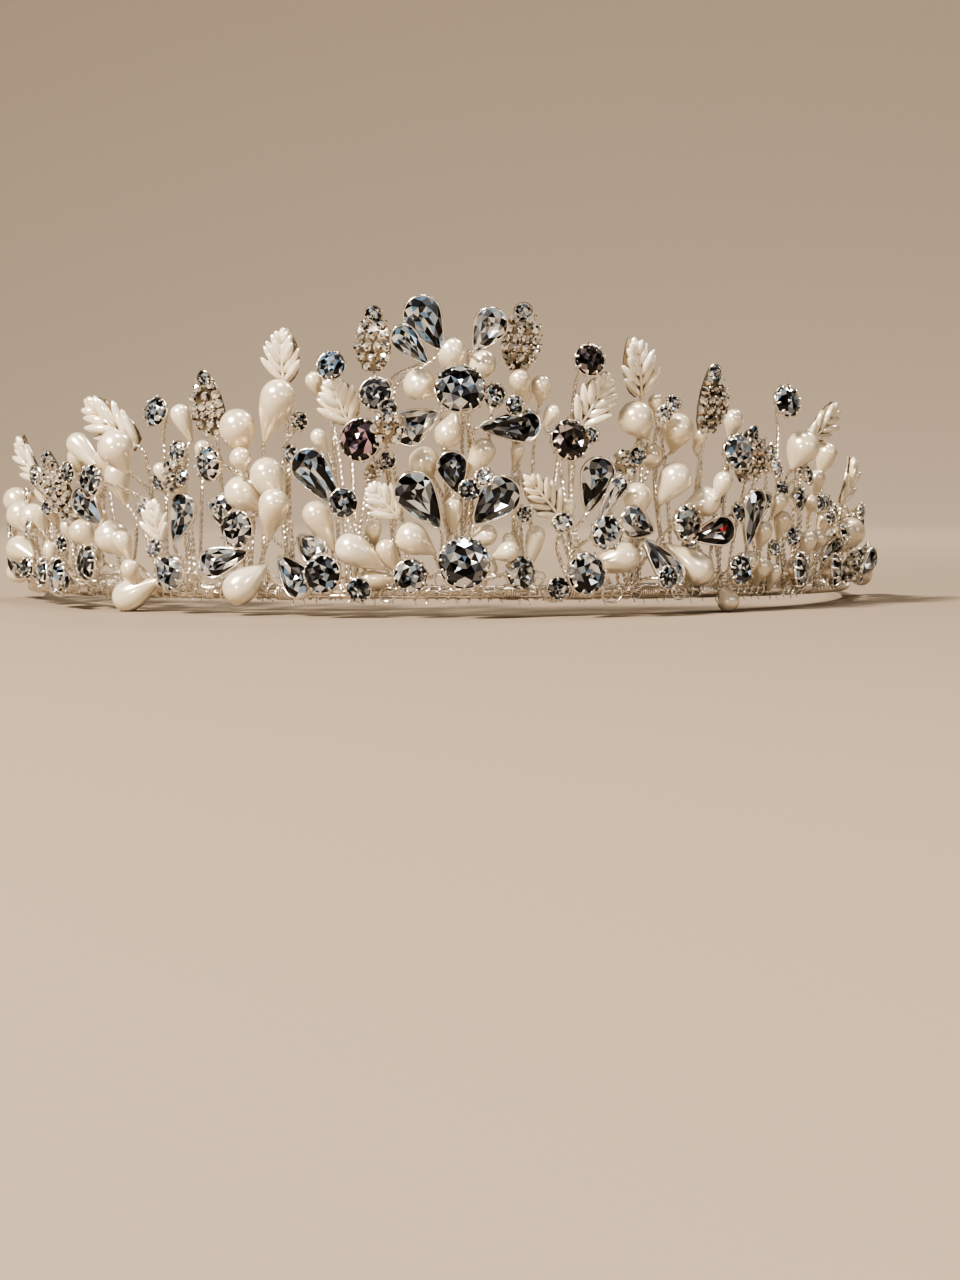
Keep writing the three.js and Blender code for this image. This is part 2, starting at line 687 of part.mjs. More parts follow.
function stem_solid({ s, top }) {
  const [half, deep] = [stem_width / 2, stem_radius];
  const level = (h) => [[-half, deep], [half, deep], [half, -deep], [-half, -deep]]
    .map(([along, out]) => place(s, h, rail_out + out).addScaledVector(axes_at(s).along, along));
  return loft([level(rail_height), level(top + stem_radius)]);
}

// A rail with its lashings, which go right round the band with the clearance.
function rail([, from, to]) {
  const [first, last] = [from + rail_gap / 2, to - rail_gap / 2];
  const bends = Math.ceil((last - first) / band_pitch);
  const half = rail_width / 2;
  let body = loft(Array.from({ length: bends + 1 }, (_, i) => {
    const s = first + ((last - first) * i) / bends;
    return [[-half, half], [half, half], [half, -half], [-half, -half]]
      .map(([out, up]) => place(s, rail_height + up, rail_out + out));
  }));
  for (const s of [first + lashing_inset, last - lashing_inset]) body = body.add(lashing(s));
  return body;
}

function lashing(s) {
  const axes = axes_at(s);
  const inner = [-band_thick / 2 - clearance, rail_out - rail_width * 0.3];
  const half = band_height / 2 + clearance;
  const block = (grow, width) => {
    const out = (inner[1] - inner[0]) / 2 + grow;
    const box = new THREE.BoxGeometry(width, 2 * (half + grow), 2 * out);
    const basis = new THREE.Matrix4().makeBasis(axes.along, axes.up, axes.outward);
    basis.setPosition(place(s, rail_height, (inner[0] + inner[1]) / 2));
    return solid(box.applyMatrix4(basis));
  };
  return block(lashing_wall, lashing_width).subtract(block(0, 2 * lashing_width));
}

// Leaves stand at the back, then the pearls and pear cut crystals, then the round crystals.
const pieces = settle([
  ...leaves.map(leaf_piece),
  ...pearls.map(pearl_piece),
  ...pear_crystals.map(pear_piece),
  ...round_crystals.map(round_piece),
]);

const tiara = new THREE.Group();
tiara.add(node('band', band(), silver));
sprays.forEach((spray, i) => {
  let body = rail(spray);
  for (const stem of stems[i]) body = body.add(stem_solid(stem));
  for (const piece of pieces.filter((one) => one.spray === i)) {
    body = body.add(piece_wire(piece));
    if (piece.own && piece.kind === 'round') body = body.add(claw_cup(piece, seat(piece)));
    if (!piece.own) body = body.add(piece_solid(piece));
  }
  tiara.add(node(spray[0], body, silver));
});

const names = { round: 'round_crystal', pear: 'pear_crystal', pearl: 'pearl', leaf: 'leaf' };
const looks = { round: crystal, pear: crystal, pearl: pearl_coat, leaf: ivory };
const counts = {};
for (const piece of pieces.filter((one) => one.own).sort((a, b) => a.s - b.s)) {
  const name = piece.stones ? 'stone_leaf' : names[piece.kind];
  counts[name] = (counts[name] ?? 0) + 1;
  tiara.add(node(`${name}_${counts[name]}`, piece_solid(piece), piece.stones ? pave_metal : looks[piece.kind]));
}

// It stands on the lowest pearls at the front and on the two ends of the band, so it is leaned until
// they are level, and it is moved so that the middle of its box's bottom is the origin.
function lowest(test) {
  let low = new THREE.Vector3(0, 0, Infinity);
  for (const mesh of tiara.children) {
    const points = mesh.geometry.attributes.position;
    for (let i = 0; i < points.count; i += 1) {
      const point = new THREE.Vector3().fromBufferAttribute(points, i);
      if (test(point) && point.z < low.z) low = point;
    }
  }
  return low;
}

const front = lowest((point) => point.y < 0);
const tail = lowest((point) => point.y > tail_reach / 2);
tiara.rotation.x = -Math.atan2(tail.z - front.z, tail_reach - front.y);
tiara.updateMatrixWorld(true);
const box = new THREE.Box3().setFromObject(tiara, true);
const group = new THREE.Group();
tiara.position.set(-(box.min.x + box.max.x) / 2, -(box.min.y + box.max.y) / 2, -box.min.z);
group.add(tiara);

export default group;
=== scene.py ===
import math

import bmesh
import bpy
import numpy as np
from mathutils import Matrix, Vector


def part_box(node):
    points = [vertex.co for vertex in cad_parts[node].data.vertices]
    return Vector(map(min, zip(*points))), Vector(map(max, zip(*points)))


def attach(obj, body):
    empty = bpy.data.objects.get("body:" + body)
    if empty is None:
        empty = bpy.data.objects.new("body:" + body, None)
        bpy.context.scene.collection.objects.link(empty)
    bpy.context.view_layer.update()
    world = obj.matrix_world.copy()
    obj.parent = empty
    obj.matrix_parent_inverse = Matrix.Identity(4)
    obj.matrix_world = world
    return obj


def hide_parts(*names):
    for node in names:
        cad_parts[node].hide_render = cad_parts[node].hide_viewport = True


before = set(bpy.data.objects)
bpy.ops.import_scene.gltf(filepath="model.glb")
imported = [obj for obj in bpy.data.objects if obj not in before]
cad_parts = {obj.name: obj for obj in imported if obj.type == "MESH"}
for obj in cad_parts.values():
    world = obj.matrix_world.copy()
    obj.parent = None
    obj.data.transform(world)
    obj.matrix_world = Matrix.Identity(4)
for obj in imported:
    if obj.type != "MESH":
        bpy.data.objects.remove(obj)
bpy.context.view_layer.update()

# The band
# Two silver plated wires run side by side round the head and close into a bend at each end. They are
# drawn brass wire, bent by hand to the oval, and everything else is tied to them.
mm = 0.001
half_width = 69.5
front_depth = 80
tail_reach = 46
band_height = 1.9
band_thick = 1.1
band_drop = 0.6
band_wire_radius = 0.36
chart_out = 3
arc_step = 0.005
wire_end_reach = 0.5
wire_end_share = 0.6
first_side = (0.31, 0.23, 0.92)
plate_grain_depth = 4e-6
up = np.array([0.0, 0.0, 1.0])
end_angle = math.pi / 2 + math.asin(tail_reach / front_depth)


def oval(angle, grow):
    return (half_width + grow) * np.sin(angle), -(front_depth + grow) * np.cos(angle)


arc_angles = np.arange(0, math.pi, arc_step)
arc_x, arc_y = oval(arc_angles, chart_out)
arc_lengths = np.concatenate([[0], np.cumsum(np.hypot(np.diff(arc_x), np.diff(arc_y)))])


def angle_at(s):
    return np.sign(s) * np.interp(np.abs(s), arc_lengths, arc_angles)


def axes_at_angle(angle):
    """Along the band and outward from it, each a row for an angle."""
    angle = np.atleast_1d(angle)
    along = np.stack([half_width * np.cos(angle), front_depth * np.sin(angle), 0 * angle], axis=1)
    outward = np.stack([np.sin(angle) / half_width, -np.cos(angle) / front_depth, 0 * angle], axis=1)
    return (along / np.linalg.norm(along, axis=1, keepdims=True),
            outward / np.linalg.norm(outward, axis=1, keepdims=True))


def place_at_angle(angle, h, out):
    angle = np.atleast_1d(angle)
    x, y = oval(angle, 0)
    outward = axes_at_angle(angle)[1]
    spot = np.stack([x, y, 0 * angle], axis=1) + outward * np.reshape(out, (-1, 1))
    return spot + np.reshape(h, (-1, 1)) * up


def place(s, h, out):
    """Millimetres along the band, above it and out from it, as points in the tiara's own frame."""
    return place_at_angle(angle_at(np.atleast_1d(np.asarray(s, float))), h, out)


# The tiara leans until its lowest pearls in front and the ends of its band are level.
band_low, band_high = [np.array(corner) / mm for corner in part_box("band")]
band_span = band_high - band_low
lean = -math.asin((band_span[2] - band_height) / (band_span[1] - band_thick / 2))
front_face = front_depth + band_thick / 2
shift = np.array([
    (band_low[0] + band_high[0]) / 2,
    band_low[1] + front_face * math.cos(lean),
    band_high[2] + front_face * math.sin(lean) - (band_height / 2 - band_drop) * math.cos(lean),
])


def standing(points):
    """From the tiara's own millimetres to where it stands, in metres."""
    y = points[:, 1] * math.cos(lean) - points[:, 2] * math.sin(lean)
    z = points[:, 1] * math.sin(lean) + points[:, 2] * math.cos(lean)
    return (np.stack([points[:, 0], y, z], axis=1) + shift) * mm


def frames_along(path):
    """Tangents and two turning-free normals along a path."""
    tangent = np.gradient(path, axis=0)
    tangent /= np.linalg.norm(tangent, axis=1, keepdims=True)
    side = np.empty_like(tangent)
    first = np.cross(tangent[0], first_side)
    side[0] = first / np.linalg.norm(first)
    for i in range(1, len(path)):
        turned = side[i - 1] - tangent[i] * (side[i - 1] @ tangent[i])
        side[i] = turned / math.sqrt(turned @ turned)
    return tangent, side, np.cross(tangent, side)


def tube(path, radius, sides=6, closed=False):
    """A round wire along a path, with rounded ends, or joined end to end."""
    path = np.asarray(path, float)
    tangent, side, other = frames_along(path)
    angles = 2 * math.pi * np.arange(sides) / sides
    radii = np.full(len(path), float(radius))
    if not closed:
        path = np.concatenate([path[:1], path, path[-1:]])
        side = np.concatenate([side[:1], side, side[-1:]])
        other = np.concatenate([other[:1], other, other[-1:]])
        path[0] = path[0] - tangent[0] * radius * wire_end_reach
        path[-1] = path[-1] + tangent[-1] * radius * wire_end_reach
        radii = np.concatenate([[radius * wire_end_share], radii, [radius * wire_end_share]])
    across, over = np.cos(angles)[None, :, None], np.sin(angles)[None, :, None]
    ring = side[:, None] * across + other[:, None] * over
    points = (path[:, None] + ring * radii[:, None, None]).reshape(-1, 3)
    turns = len(path) if closed else len(path) - 1
    faces = []
    for i in range(turns):
        here, after = i * sides, ((i + 1) % len(path)) * sides
        for k in range(sides):
            n = (k + 1) % sides
            faces.append((here + k, here + n, after + n, after + k))
    if not closed:
        faces.append(tuple(range(sides))[::-1])
        faces.append(tuple((len(path) - 1) * sides + k for k in range(sides)))
    return points, faces


def make_piece(name, parts, finish, nodes, smooth=True):
    """One mesh of many closed parts. A part is its points, its faces and, on a stone, a painted reflection
    tone for each face.
    """
    points, faces, painted_tones, start = [], [], [], 0
    for part in parts:
        points.append(part[0])
        faces += [tuple(i + start for i in face) for face in part[1]]
        painted_tones += list(part[2]) if len(part) > 2 else []
        start += len(part[0])
    mesh = bpy.data.meshes.new(name)
    mesh.from_pydata(standing(np.concatenate(points)).tolist(), [], faces)
    # A stone's faces carry their painted reflection tones, dark, grey, white glint or sky blue, as a colour
    # attribute.
    if painted_tones:
        layer = mesh.color_attributes.new("painted_reflection", "FLOAT_COLOR", "CORNER")
        corners = [len(face) for face in faces]
        flat = np.repeat(np.c_[np.array(painted_tones), np.ones(len(painted_tones))], corners, axis=0)
        layer.data.foreach_set("color", flat.ravel())
    work = bmesh.new()
    work.from_mesh(mesh)
    bmesh.ops.recalc_face_normals(work, faces=work.faces)
    work.to_mesh(mesh)
    work.free()
    mesh.polygons.foreach_set("use_smooth", [smooth] * len(mesh.polygons))
    mesh.materials.append(finish)
    piece = bpy.data.objects.new(name, mesh)
    bpy.context.collection.objects.link(piece)
    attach(piece, "root")
    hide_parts(*nodes)
    return piece


def new_group(name, inputs, outputs):
    """A node group with named sockets, and its input and output nodes."""
    group = bpy.data.node_groups.new(name, "ShaderNodeTree")
    for label, kind, value in inputs:
        socket = group.interface.new_socket(label, in_out="INPUT", socket_type=kind)
        socket.default_value = value
    for label, kind in outputs:
        group.interface.new_socket(label, in_out="OUTPUT", socket_type=kind)
    return group, group.nodes.new("NodeGroupInput"), group.nodes.new("NodeGroupOutput")


def feed(tree, socket, value):
    """Links a socket to another node's output, or gives it a plain value."""
    if isinstance(value, bpy.types.NodeSocket):
        tree.links.new(value, socket)
    else:
        socket.default_value = value


def noise_node(tree, scale, detail):
    noise = tree.nodes.new("ShaderNodeTexNoise")
    noise.inputs["Detail"].default_value = detail
    feed(tree, noise.inputs["Scale"], scale)
    feed(tree, noise.inputs["Vector"], tree.nodes.new("ShaderNodeTexCoord").outputs["Object"])
    return noise


def range_node(tree, value, low, high):
    """Spreads the middle of a noise between two others, which are numbers or sockets."""
    spread = tree.nodes.new("ShaderNodeMapRange")
    amounts = {"Value": value, "From Min": 0.35, "From Max": 0.65, "To Min": low, "To Max": high}
    for socket, amount in amounts.items():
        feed(tree, spread.inputs[socket], amount)
    return spread.outputs["Result"]


def mix_node(tree, share, first, second, blend="MIX"):
    mix = tree.nodes.new("ShaderNodeMix")
    mix.data_type = "RGBA"
    mix.blend_type = blend
    for socket, amount in (("Factor", share), (6, first), (7, second)):
        feed(tree, mix.inputs[socket], amount)
    return mix.outputs[2]


def patchy_group(name, patch_scale, patch_detail, grain_scale, grain_detail, patchy_gloss):
    """A group for two colours in soft patches, with a fine grain in the height. Its roughness follows
    the patches or the grain."""
    group, given, result = new_group(
        name,
        [("First", "NodeSocketColor", (1, 1, 1, 1)), ("Second", "NodeSocketColor", (0.5, 0.5, 0.5, 1)),
         ("Patch Scale", "NodeSocketFloat", patch_scale), ("Smooth", "NodeSocketFloat", 0.1),
         ("Rough", "NodeSocketFloat", 0.4)],
        [("Color", "NodeSocketColor"), ("Roughness", "NodeSocketFloat"), ("Height", "NodeSocketFloat")])
    patches = noise_node(group, given.outputs["Patch Scale"], patch_detail).outputs["Fac"]
    grain = noise_node(group, grain_scale, grain_detail).outputs["Fac"]
    share = range_node(group, patches, 0.0, 1.0)
    colour = mix_node(group, share, given.outputs["First"], given.outputs["Second"])
    source = patches if patchy_gloss else grain
    gloss = range_node(group, source, given.outputs["Smooth"], given.outputs["Rough"])
    feed(group, result.inputs["Color"], colour)
    feed(group, result.inputs["Roughness"], gloss)
    feed(group, result.inputs["Height"], grain)
    return group


def grouped_finish(name, group, effect_values, shader_values, grain_depth=0):
    """A material whose colour and roughness come from a group. Returns it with the group's node."""
    finish = bpy.data.materials.new(name)
    finish.use_nodes = True
    tree = finish.node_tree
    shader = tree.nodes["Principled BSDF"]
    effect = tree.nodes.new("ShaderNodeGroup")
    effect.node_tree = group
    for socket, value in effect_values.items():
        effect.inputs[socket].default_value = value
    for socket, value in shader_values.items():
        shader.inputs[socket].default_value = value
    feed(tree, shader.inputs["Base Color"], effect.outputs["Color"])
    feed(tree, shader.inputs["Roughness"], effect.outputs["Roughness"])
    if grain_depth:
        bump = tree.nodes.new("ShaderNodeBump")
        bump.inputs["Distance"].default_value = grain_depth
        feed(tree, bump.inputs["Height"], effect.outputs["Height"])
        feed(tree, shader.inputs["Normal"], bump.outputs["Normal"])
    return finish, effect


# Worn plate is bright where it is rubbed, and warmer and duller in patches.
worn_plate = patchy_group("worn_plate", 300.0, 3, 9000.0, 2, patchy_gloss=True)


def plated_metal(name, bright, dull, smooth, rough):
    values = {"First": (*bright, 1), "Second": (*dull, 1), "Smooth": smooth, "Rough": rough}
    return grouped_finish(name, worn_plate, values, {"Metallic": 1.0}, plate_grain_depth)[0]


silver = plated_metal("silver_wire_plate", (0.98, 0.96, 0.92), (0.9, 0.83, 0.72), 0.1, 0.24)

bend_flatness = 0.7
band_angles = np.linspace(-end_angle, end_angle, 260)
bend_turns = np.linspace(-math.pi / 2, math.pi / 2, 9)[1:-1]
rise = band_height / 2 - band_wire_radius


def band_bend(angle, side):
    """The flattened half turn that closes the two wires at one end of the band."""
    along = axes_at_angle(angle)[0]
    spot = place_at_angle(angle, 0, 0)
    reach = side * (rise * np.cos(bend_turns))[:, None] * along * bend_flatness
    return spot + reach + (-band_drop + side * rise * np.sin(bend_turns))[:, None] * up


lower_wire = place_at_angle(band_angles, -band_drop - rise, 0)
upper_wire = place_at_angle(band_angles, -band_drop + rise, 0)
band_path = np.concatenate([lower_wire, band_bend(end_angle, 1), upper_wire[::-1], band_bend(-end_angle, -1)])
make_piece("band_wires", [tube(band_path, band_wire_radius, 8, closed=True)], silver, ["band"])

# The chart
# Every stone, pearl and leaf stands on a wire of its own, which is bent forward until it clears its
# neighbours. The wires are twisted into stems and tied along the band in seven sprays.
# Lengths are in millimetres, turn and lift in degrees. own is 1 where the solids have a node for it.
clearance = 0.3
rail_width = 1
stem_radius = 0.42
stem_width = 1.1
rail_gap = 1.4
stem_reach = 2.4
settle_step = 0.4
cup_wall = 0.4
leaf_thick = 1.0
pavilion_depth = 0.42
girdle_half = 0.05
tuck = -0.3
leaf_lean = 0.16
rail_out = band_thick / 2 + clearance + rail_width / 2
rail_height = -band_drop
free_out = rail_out + stem_radius + clearance

# name, from and to: millimetres along the band.
sprays = [
    ("far_left", -109, -77),
    ("left", -77, -47),
    ("mid_left", -47, -22.5),
    ("middle", -22.5, 11.5),
    ("mid_right", 11.5, 34),
    ("right", 34, 61),
    ("far_right", 61, 108),
]

# along, height, width, turn, lift, own, tint
round_crystals = [
    (-0.7, 3.7, 7, 0, 5, 1, "clear"),
    (7.4, 2.2, 4.5, 25, 0, 1, "clear"),
    (15.6, 2.1, 5.6, 10, 0, 1, "clear"),
    (-1.2, 28.1, 6.8, 0, 22, 1, "clear"),
    (-14.4, 21.1, 5.7, -8, 5, 1, "aubergine"),
    (-12.3, 27.6, 4.3, -5, 10, 1, "grey"),
    (13.7, 21.1, 5.5, 8, 5, 1, "brown"),
    (17.3, 7.9, 4.5, 5, 0, 1, "clear"),
    (32, 9.3, 5, 15, 0, 1, "clear"),
    (40.3, 19.8, 4.8, -10, 5, 1, "clear"),
    (58.3, 2.1, 5.2, 20, 0, 1, "dark"),
    (-44.1, 2.1, 4.8, 0, 0, 1, "clear"),
    (-63, 3.5, 5, -10, 0, 1, "dark"),
    (-55, 15.7, 4.4, 0, 5, 1, "clear"),
    (-37.7, 18, 4.6, -15, 0, 1, "clear"),
    (-32.3, 8.5, 5, -5, 0, 1, "clear"),
    (-19.3, 2.1, 5, 0, 0, 1, "dark"),
    (-70, 1.4, 5.4, -10, 0, 1, "clear"),
    (-7.8, 1.8, 4.5, 0, 0, 0, "clear"),
    (-16.6, 12.2, 3.8, 0, 0, 0, "dark"),
    (42.7, 2.4, 4.2, 0, 0, 0, "clear"),
    (54.9, 27.9, 4.5, -15, 10, 0, "dark"),
    (71, 1.9, 5, 15, 0, 0, "dark"),
    (88, 1.7, 4, 10, 0, 0, "clear"),
    (-48.3, 25.9, 4, 0, 10, 0, "blue"),
    (-18.1, 31.5, 3.8, 0, 10, 0, "blue"),
    (16.2, 32.4, 4.2, 0, 10, 0, "brown"),
    (-80, 1.6, 4.5, -10, 0, 0, "clear"),
]

# along, height: the round head; tip along, tip height: where the point aims; width, length, own, tint
pear_crystals = [
    (-7.2, 13.8, -3.4, 8.2, 5.5, 9, 1, "dark"),
    (4.3, 13.2, 0.5, 9.1, 5.5, 8, 1, "dark"),
    (8, 23.2, 1.8, 23, 4.5, 8.5, 1, "dark"),
    (-8.1, 22.8, -4.6, 24.9, 5, 7, 1, "bright"),
    (-6.1, 38.6, -3.8, 34.3, 5.2, 8, 1, "blue"),
    (2.8, 37.1, 0.5, 33.2, 4.6, 6.5, 1, "bright"),
    (-22.3, 17.4, -18, 10.8, 5.2, 9.5, 1, "blue"),
    (18.8, 16.3, 17.7, 10.2, 5, 8, 1, "dark"),
    (46.7, 12.1, 47.4, 5.5, 4.6, 8.5, 1, "dark"),
    (-42.1, 11.4, -45.6, 6.3, 4.8, 8, 1, "blue"),
    (-2.2, 17.4, -1.4, 14, 4.2, 6, 0, "dark"),
    (-8.3, 35.1, -4.9, 31.5, 3.6, 6.5, 0, "blue"),
    (-24.2, 0.9, -28, 4.8, 4.6, 7.5, 0, "clear"),
    (23, 9.5, 27.1, 8.1, 4.6, 6.5, 0, "clear"),
    (29.8, 2.3, 26.7, 6.5, 4.2, 8, 0, "bright"),
    (40.6, 8.2, 35.8, 7.2, 4.2, 7, 0, "red"),
    (-61.1, 12.5, -58, 9, 5, 6.5, 0, "blue"),
    (-38.1, 3.6, -32.5, 5.3, 4.2, 7.5, 0, "clear"),
    (-84, 17, -80.5, 13, 3.5, 6, 0, "clear"),
    (-97, 3.4, -93, 1, 6, 7, 0, "clear"),
    (90, 9.5, 86, 6.5, 4.4, 6.5, 0, "dark"),
    (100, 3.2, 96, 1.2, 4.4, 6.5, 0, "dark"),
]

# The same columns as the pear crystals, without the tint.
pearls = [
    (-6.6, 28.9, -4, 27.5, 4.8, 5.6, 1),
    (-16.2, 5.7, -10, 1.8, 4.8, 8, 1),
    (24.5, 24.3, 27.5, 21, 5.3, 6.5, 1),
    (23, 4.4, 18.5, 3, 4.4, 8.5, 1),
    (35.2, 2.6, 32, 5.2, 5, 8.5, 1),
    (59.5, 21.1, 57, 16, 5.2, 6.8, 1),
    (-33, 23.2, -33, 18.5, 5.4, 7.5, 1),
    (-26.3, 27.3, -29.5, 21, 5.2, 10, 1),
    (-54.5, -1.5, -49, 1.2, 4.8, 8.5, 1),
    (-2.3, 33.6, -2.2, 29, 4.2, 6.3, 0),
    (2.2, 31.9, 0, 29.8, 3.9, 5.6, 0),
    (-2.7, 21.9, -1.5, 26, 4, 5.5, 0),
    (2.2, 19.6, -0.3, 15, 3.6, 7, 0),
    (-7.8, 7.2, -4.5, 5, 4.6, 6.5, 0),
    (31.6, 23, 31.4, 18, 4.8, 6, 0),
    (31.3, 15.9, 29.5, 12.5, 4.8, 7, 0),
    (25, 13.2, 25, 8.5, 4.2, 6, 0),
    (36.9, 12.5, 32.5, 12, 4.5, 5.5, 0),
    (80, 8, 78, 4, 5, 6, 0),
    (105.5, 0.8, 101, 0, 4, 5.6, 0),
    (-28.7, 16.4, -27, 11, 5, 8.5, 0),
    (-26.3, 12.1, -28, 7, 4.4, 8, 0),
    (-21.5, 10.6, -19.5, 6, 4, 8, 0),
    (-33.2, 0, -29.5, 3.5, 5, 8, 0),
    (-53.4, 20.6, -52, 16.5, 5.4, 7, 0),
    (-67.9, 21.7, -61.5, 15.5, 3.6, 9, 0),
    (-57.9, 7.4, -55, 4, 5.2, 6.5, 0),
    (-86, 10.5, -83, 6, 4.6, 6.5, 0),
    (-93, 11, -90, 6.5, 5, 6.5, 0),
    (-100.5, 13.5, -96, 8, 4.4, 6.5, 0),
    (-90.5, 5.5, -84, 3.5, 4.4, 7, 0),
    (-105.5, 1.5, -101, 0.5, 3.6, 7, 0),
    (42, -2.2, 40.5, 0.5, 3.4, 3.8, 0),
]

# along, height: the foot; tip along, tip height; width, own, stones: 1 where it is set with stones
leaves = [
    (-53.5, 21, -63, 28.5, 7.6, 1, 0),
    (-26.6, 29.5, -25.9, 37.6, 6.5, 1, 0),
    (-16.8, 23.5, -19.4, 30.4, 7, 1, 0),
    (16.4, 23.2, 20.5, 31.2, 6.5, 1, 0),
    (26.2, 27.6, 23.6, 36.4, 6.5, 1, 0),
    (13.2, 10.4, 7.2, 16.4, 5.4, 1, 0),
    (-87, 16.5, -92, 24, 6.2, 1, 0),
    (63.5, 21.5, 70.5, 28.5, 5.6, 1, 0),
    (80, 12.5, 81, 20.5, 5.6, 1, 0),
    (-13.2, 30.8, -12.9, 39.9, 5.6, 1, 1),
    (7.1, 31, 7.7, 40.4, 6, 1, 1),
    (-37.9, 22, -38.8, 31.4, 6, 1, 1),
    (37.8, 22.5, 37.8, 32.6, 5.8, 1, 1),
    (46.5, 15.6, 46.1, 23.6, 7.4, 1, 1),
    (-70, 10, -76.5, 21, 6.4, 1, 1),
    (-9.8, 10.2, -14, 15.2, 6, 0, 0),
    (-48.7, 6.6, -48.5, 13.4, 6, 0, 0),
]

# The finest pieces, which fill the gaps between the others.
small_rounds = [
    (61.3, 13.2, 3.6, 10, 0, 0, "clear"),
    (-98, 9, 3.2, -10, 0, 0, "clear"),
    (-14.8, -0.2, 3.2, 0, -10, 0, "dark"),
    (13.3, -0.1, 3, 0, -10, 0, "dark"),
    (27.5, 1.5, 3, 5, 0, 0, "dark"),
]
small_pears = [
    (51.5, 12.5, 48.8, 6, 3, 7, 0, "bright"),
    (-22, 5.5, -25, 7.6, 4, 5.5, 0, "bright"),
    (21, 14.5, 19, 10.2, 2.8, 6.5, 0, "bright"),
    (-37, 11.4, -36, 8.4, 4, 5, 0, "clear"),
    (-103, 6, -99, 3, 3, 5, 0, "clear"),
    (75, 6, 72, 3, 4, 6, 0, "dark"),
    (94, 7, 91, 4, 3.6, 5.5, 0, "clear"),
    (84, 3.5, 81, 1, 3.8, 5.5, 0, "dark"),
]
small_pearls = [
    (10.7, 29, 10.7, 25, 3, 4.4, 0),
    (-2, 11.5, -2, 8, 2.8, 5.2, 0),
    (2.8, 7.6, -0.5, 6, 3, 5, 0),
    (-11.6, 5.7, -9.8, 1.5, 3, 6, 0),
    (9.9, 7.6, 9.2, 2.5, 2.8, 6.5, 0),
    (44, 24.9, 44, 20, 3, 4.5, 0),
    (50.4, 2.7, 50, -1, 3.2, 4.5, 0),
    (64.4, 6.7, 64, 2, 3, 4.8, 0),
    (-44.7, 25.5, -43.5, 21, 3, 6, 0),
    (-45.4, 15.9, -44, 11, 3.2, 5, 0),
    (72, 20.5, 71, 14, 3.4, 5.5, 0),
    (95, 3, 92, 1, 4, 5.5, 0),
    (-68.6, 8.2, -66, 4, 4, 5.2, 0),
    (-14, 1.2, -9, 1.4, 2.8, 5.5, 0),
    (-6.1, 18.1, -4, 14, 4.4, 5, 0),
    (6, 7, 7.5, 4.6, 1.9, 5, 0),
    (5.4, 5.3, 3, 4.4, 3, 4, 0),
    (27.9, 19.2, 27.9, 15, 3.4, 4, 0),
    (37.6, 15.5, 36.6, 12, 2.8, 4.5, 0),
    (68.5, 7, 68, 4, 3, 3.6, 0),
    (-31.9, 18.7, -31.9, 15, 3.2, 4, 0),
    (-33.4, 13.8, -30, 11, 5, 7, 0),
    (-58.4, 16.8, -58, 11, 4, 7, 0),
    (-52.4, 2.7, -52, -0.5, 2.8, 4, 0),
]
small_leaves = [
    (-44.6, 16.6, -39.5, 15.8, 5, 0, 1),
    (-10.4, 20.4, -10.2, 26, 5, 0, 1),
    (20.8, 17, 25.4, 19.4, 4.4, 0, 1),
    (78, 0.9, 84, 4.6, 5, 0, 1),
    (-14.5, 16, -10.5, 18.6, 3, 0, 1),
    (-67.5, 0.4, -62.5, 0.6, 2.6, 0, 1),
]


class Piece:
    """A stone, pearl or leaf on its wire. Its maker adds blobs, the spheres that stand for it, root,
    where its wire leaves it, and least_out, the nearest to the band that it may be."""

    def __init__(self, kind, s, h, width, length, axis, own, tint=""):
        self.kind = kind
        self.s = s
        self.h = h
        self.width = width
        self.length = length
        self.axis = np.array(axis)
        self.own = own
        self.tint = tint
        self.out = 0


def unit(v):
    v = np.asarray(v, float)
    return v / np.linalg.norm(v)


def aim(s, h, tip_s, tip_h, leaning):
    flat = unit([tip_s - s, tip_h - h])
    return unit([flat[0], flat[1], leaning])


def cup_depth(width):
    slant = (pavilion_depth - girdle_half) / 0.5
    return pavilion_depth * width + clearance * math.hypot(1, slant) + cup_wall


def round_piece(row):
    s, h, width, turn, lift, own, tint = row
    turned, lifted = math.radians(turn), math.radians(lift)
    axis = [math.sin(turned) * math.cos(lifted), math.sin(lifted), math.cos(turned) * math.cos(lifted)]
    piece = Piece("round", s, h, width, width, axis, own, tint)
    piece.least_out = free_out + cup_depth(width)
    piece.blobs = [(-0.1 * width * piece.axis, 0.5 * width + clearance + cup_wall)]
    piece.root = piece.axis * (cup_wall / 2 - cup_depth(width) if own else -0.4 * width)
    return piece


def pear_piece(row):
    s, h, tip_s, tip_h, width, length, own, tint = row
    piece = Piece("pear", s, h, width, length, aim(s, h, tip_s, tip_h, tuck), own, tint)
    reach = length - width / 2
    piece.least_out = free_out - min(reach * piece.axis[2], -0.4 * width)
    piece.blobs = [(0 * piece.axis, 0.5 * width), (piece.axis * reach * 0.5, 0.34 * width)]
    piece.root = piece.axis * (reach + (clearance + stem_radius if own else -0.25 * width))
    return piece


def pearl_piece(row):
    s, h, tip_s, tip_h, width, length, own = row
    piece = Piece("pearl", s, h, width, length, aim(s, h, tip_s, tip_h, tuck), own)
    reach = length - width / 2
    piece.least_out = free_out - min(reach * piece.axis[2], -0.5 * width)
    piece.blobs = [(0 * piece.axis, 0.5 * width), (piece.axis * reach * 0.45, 0.36 * width),
                   (piece.axis * reach * 0.8, 0.18 * width)]
    piece.root = piece.axis * (reach + (clearance + stem_radius if own else -0.3 * reach))
    return piece


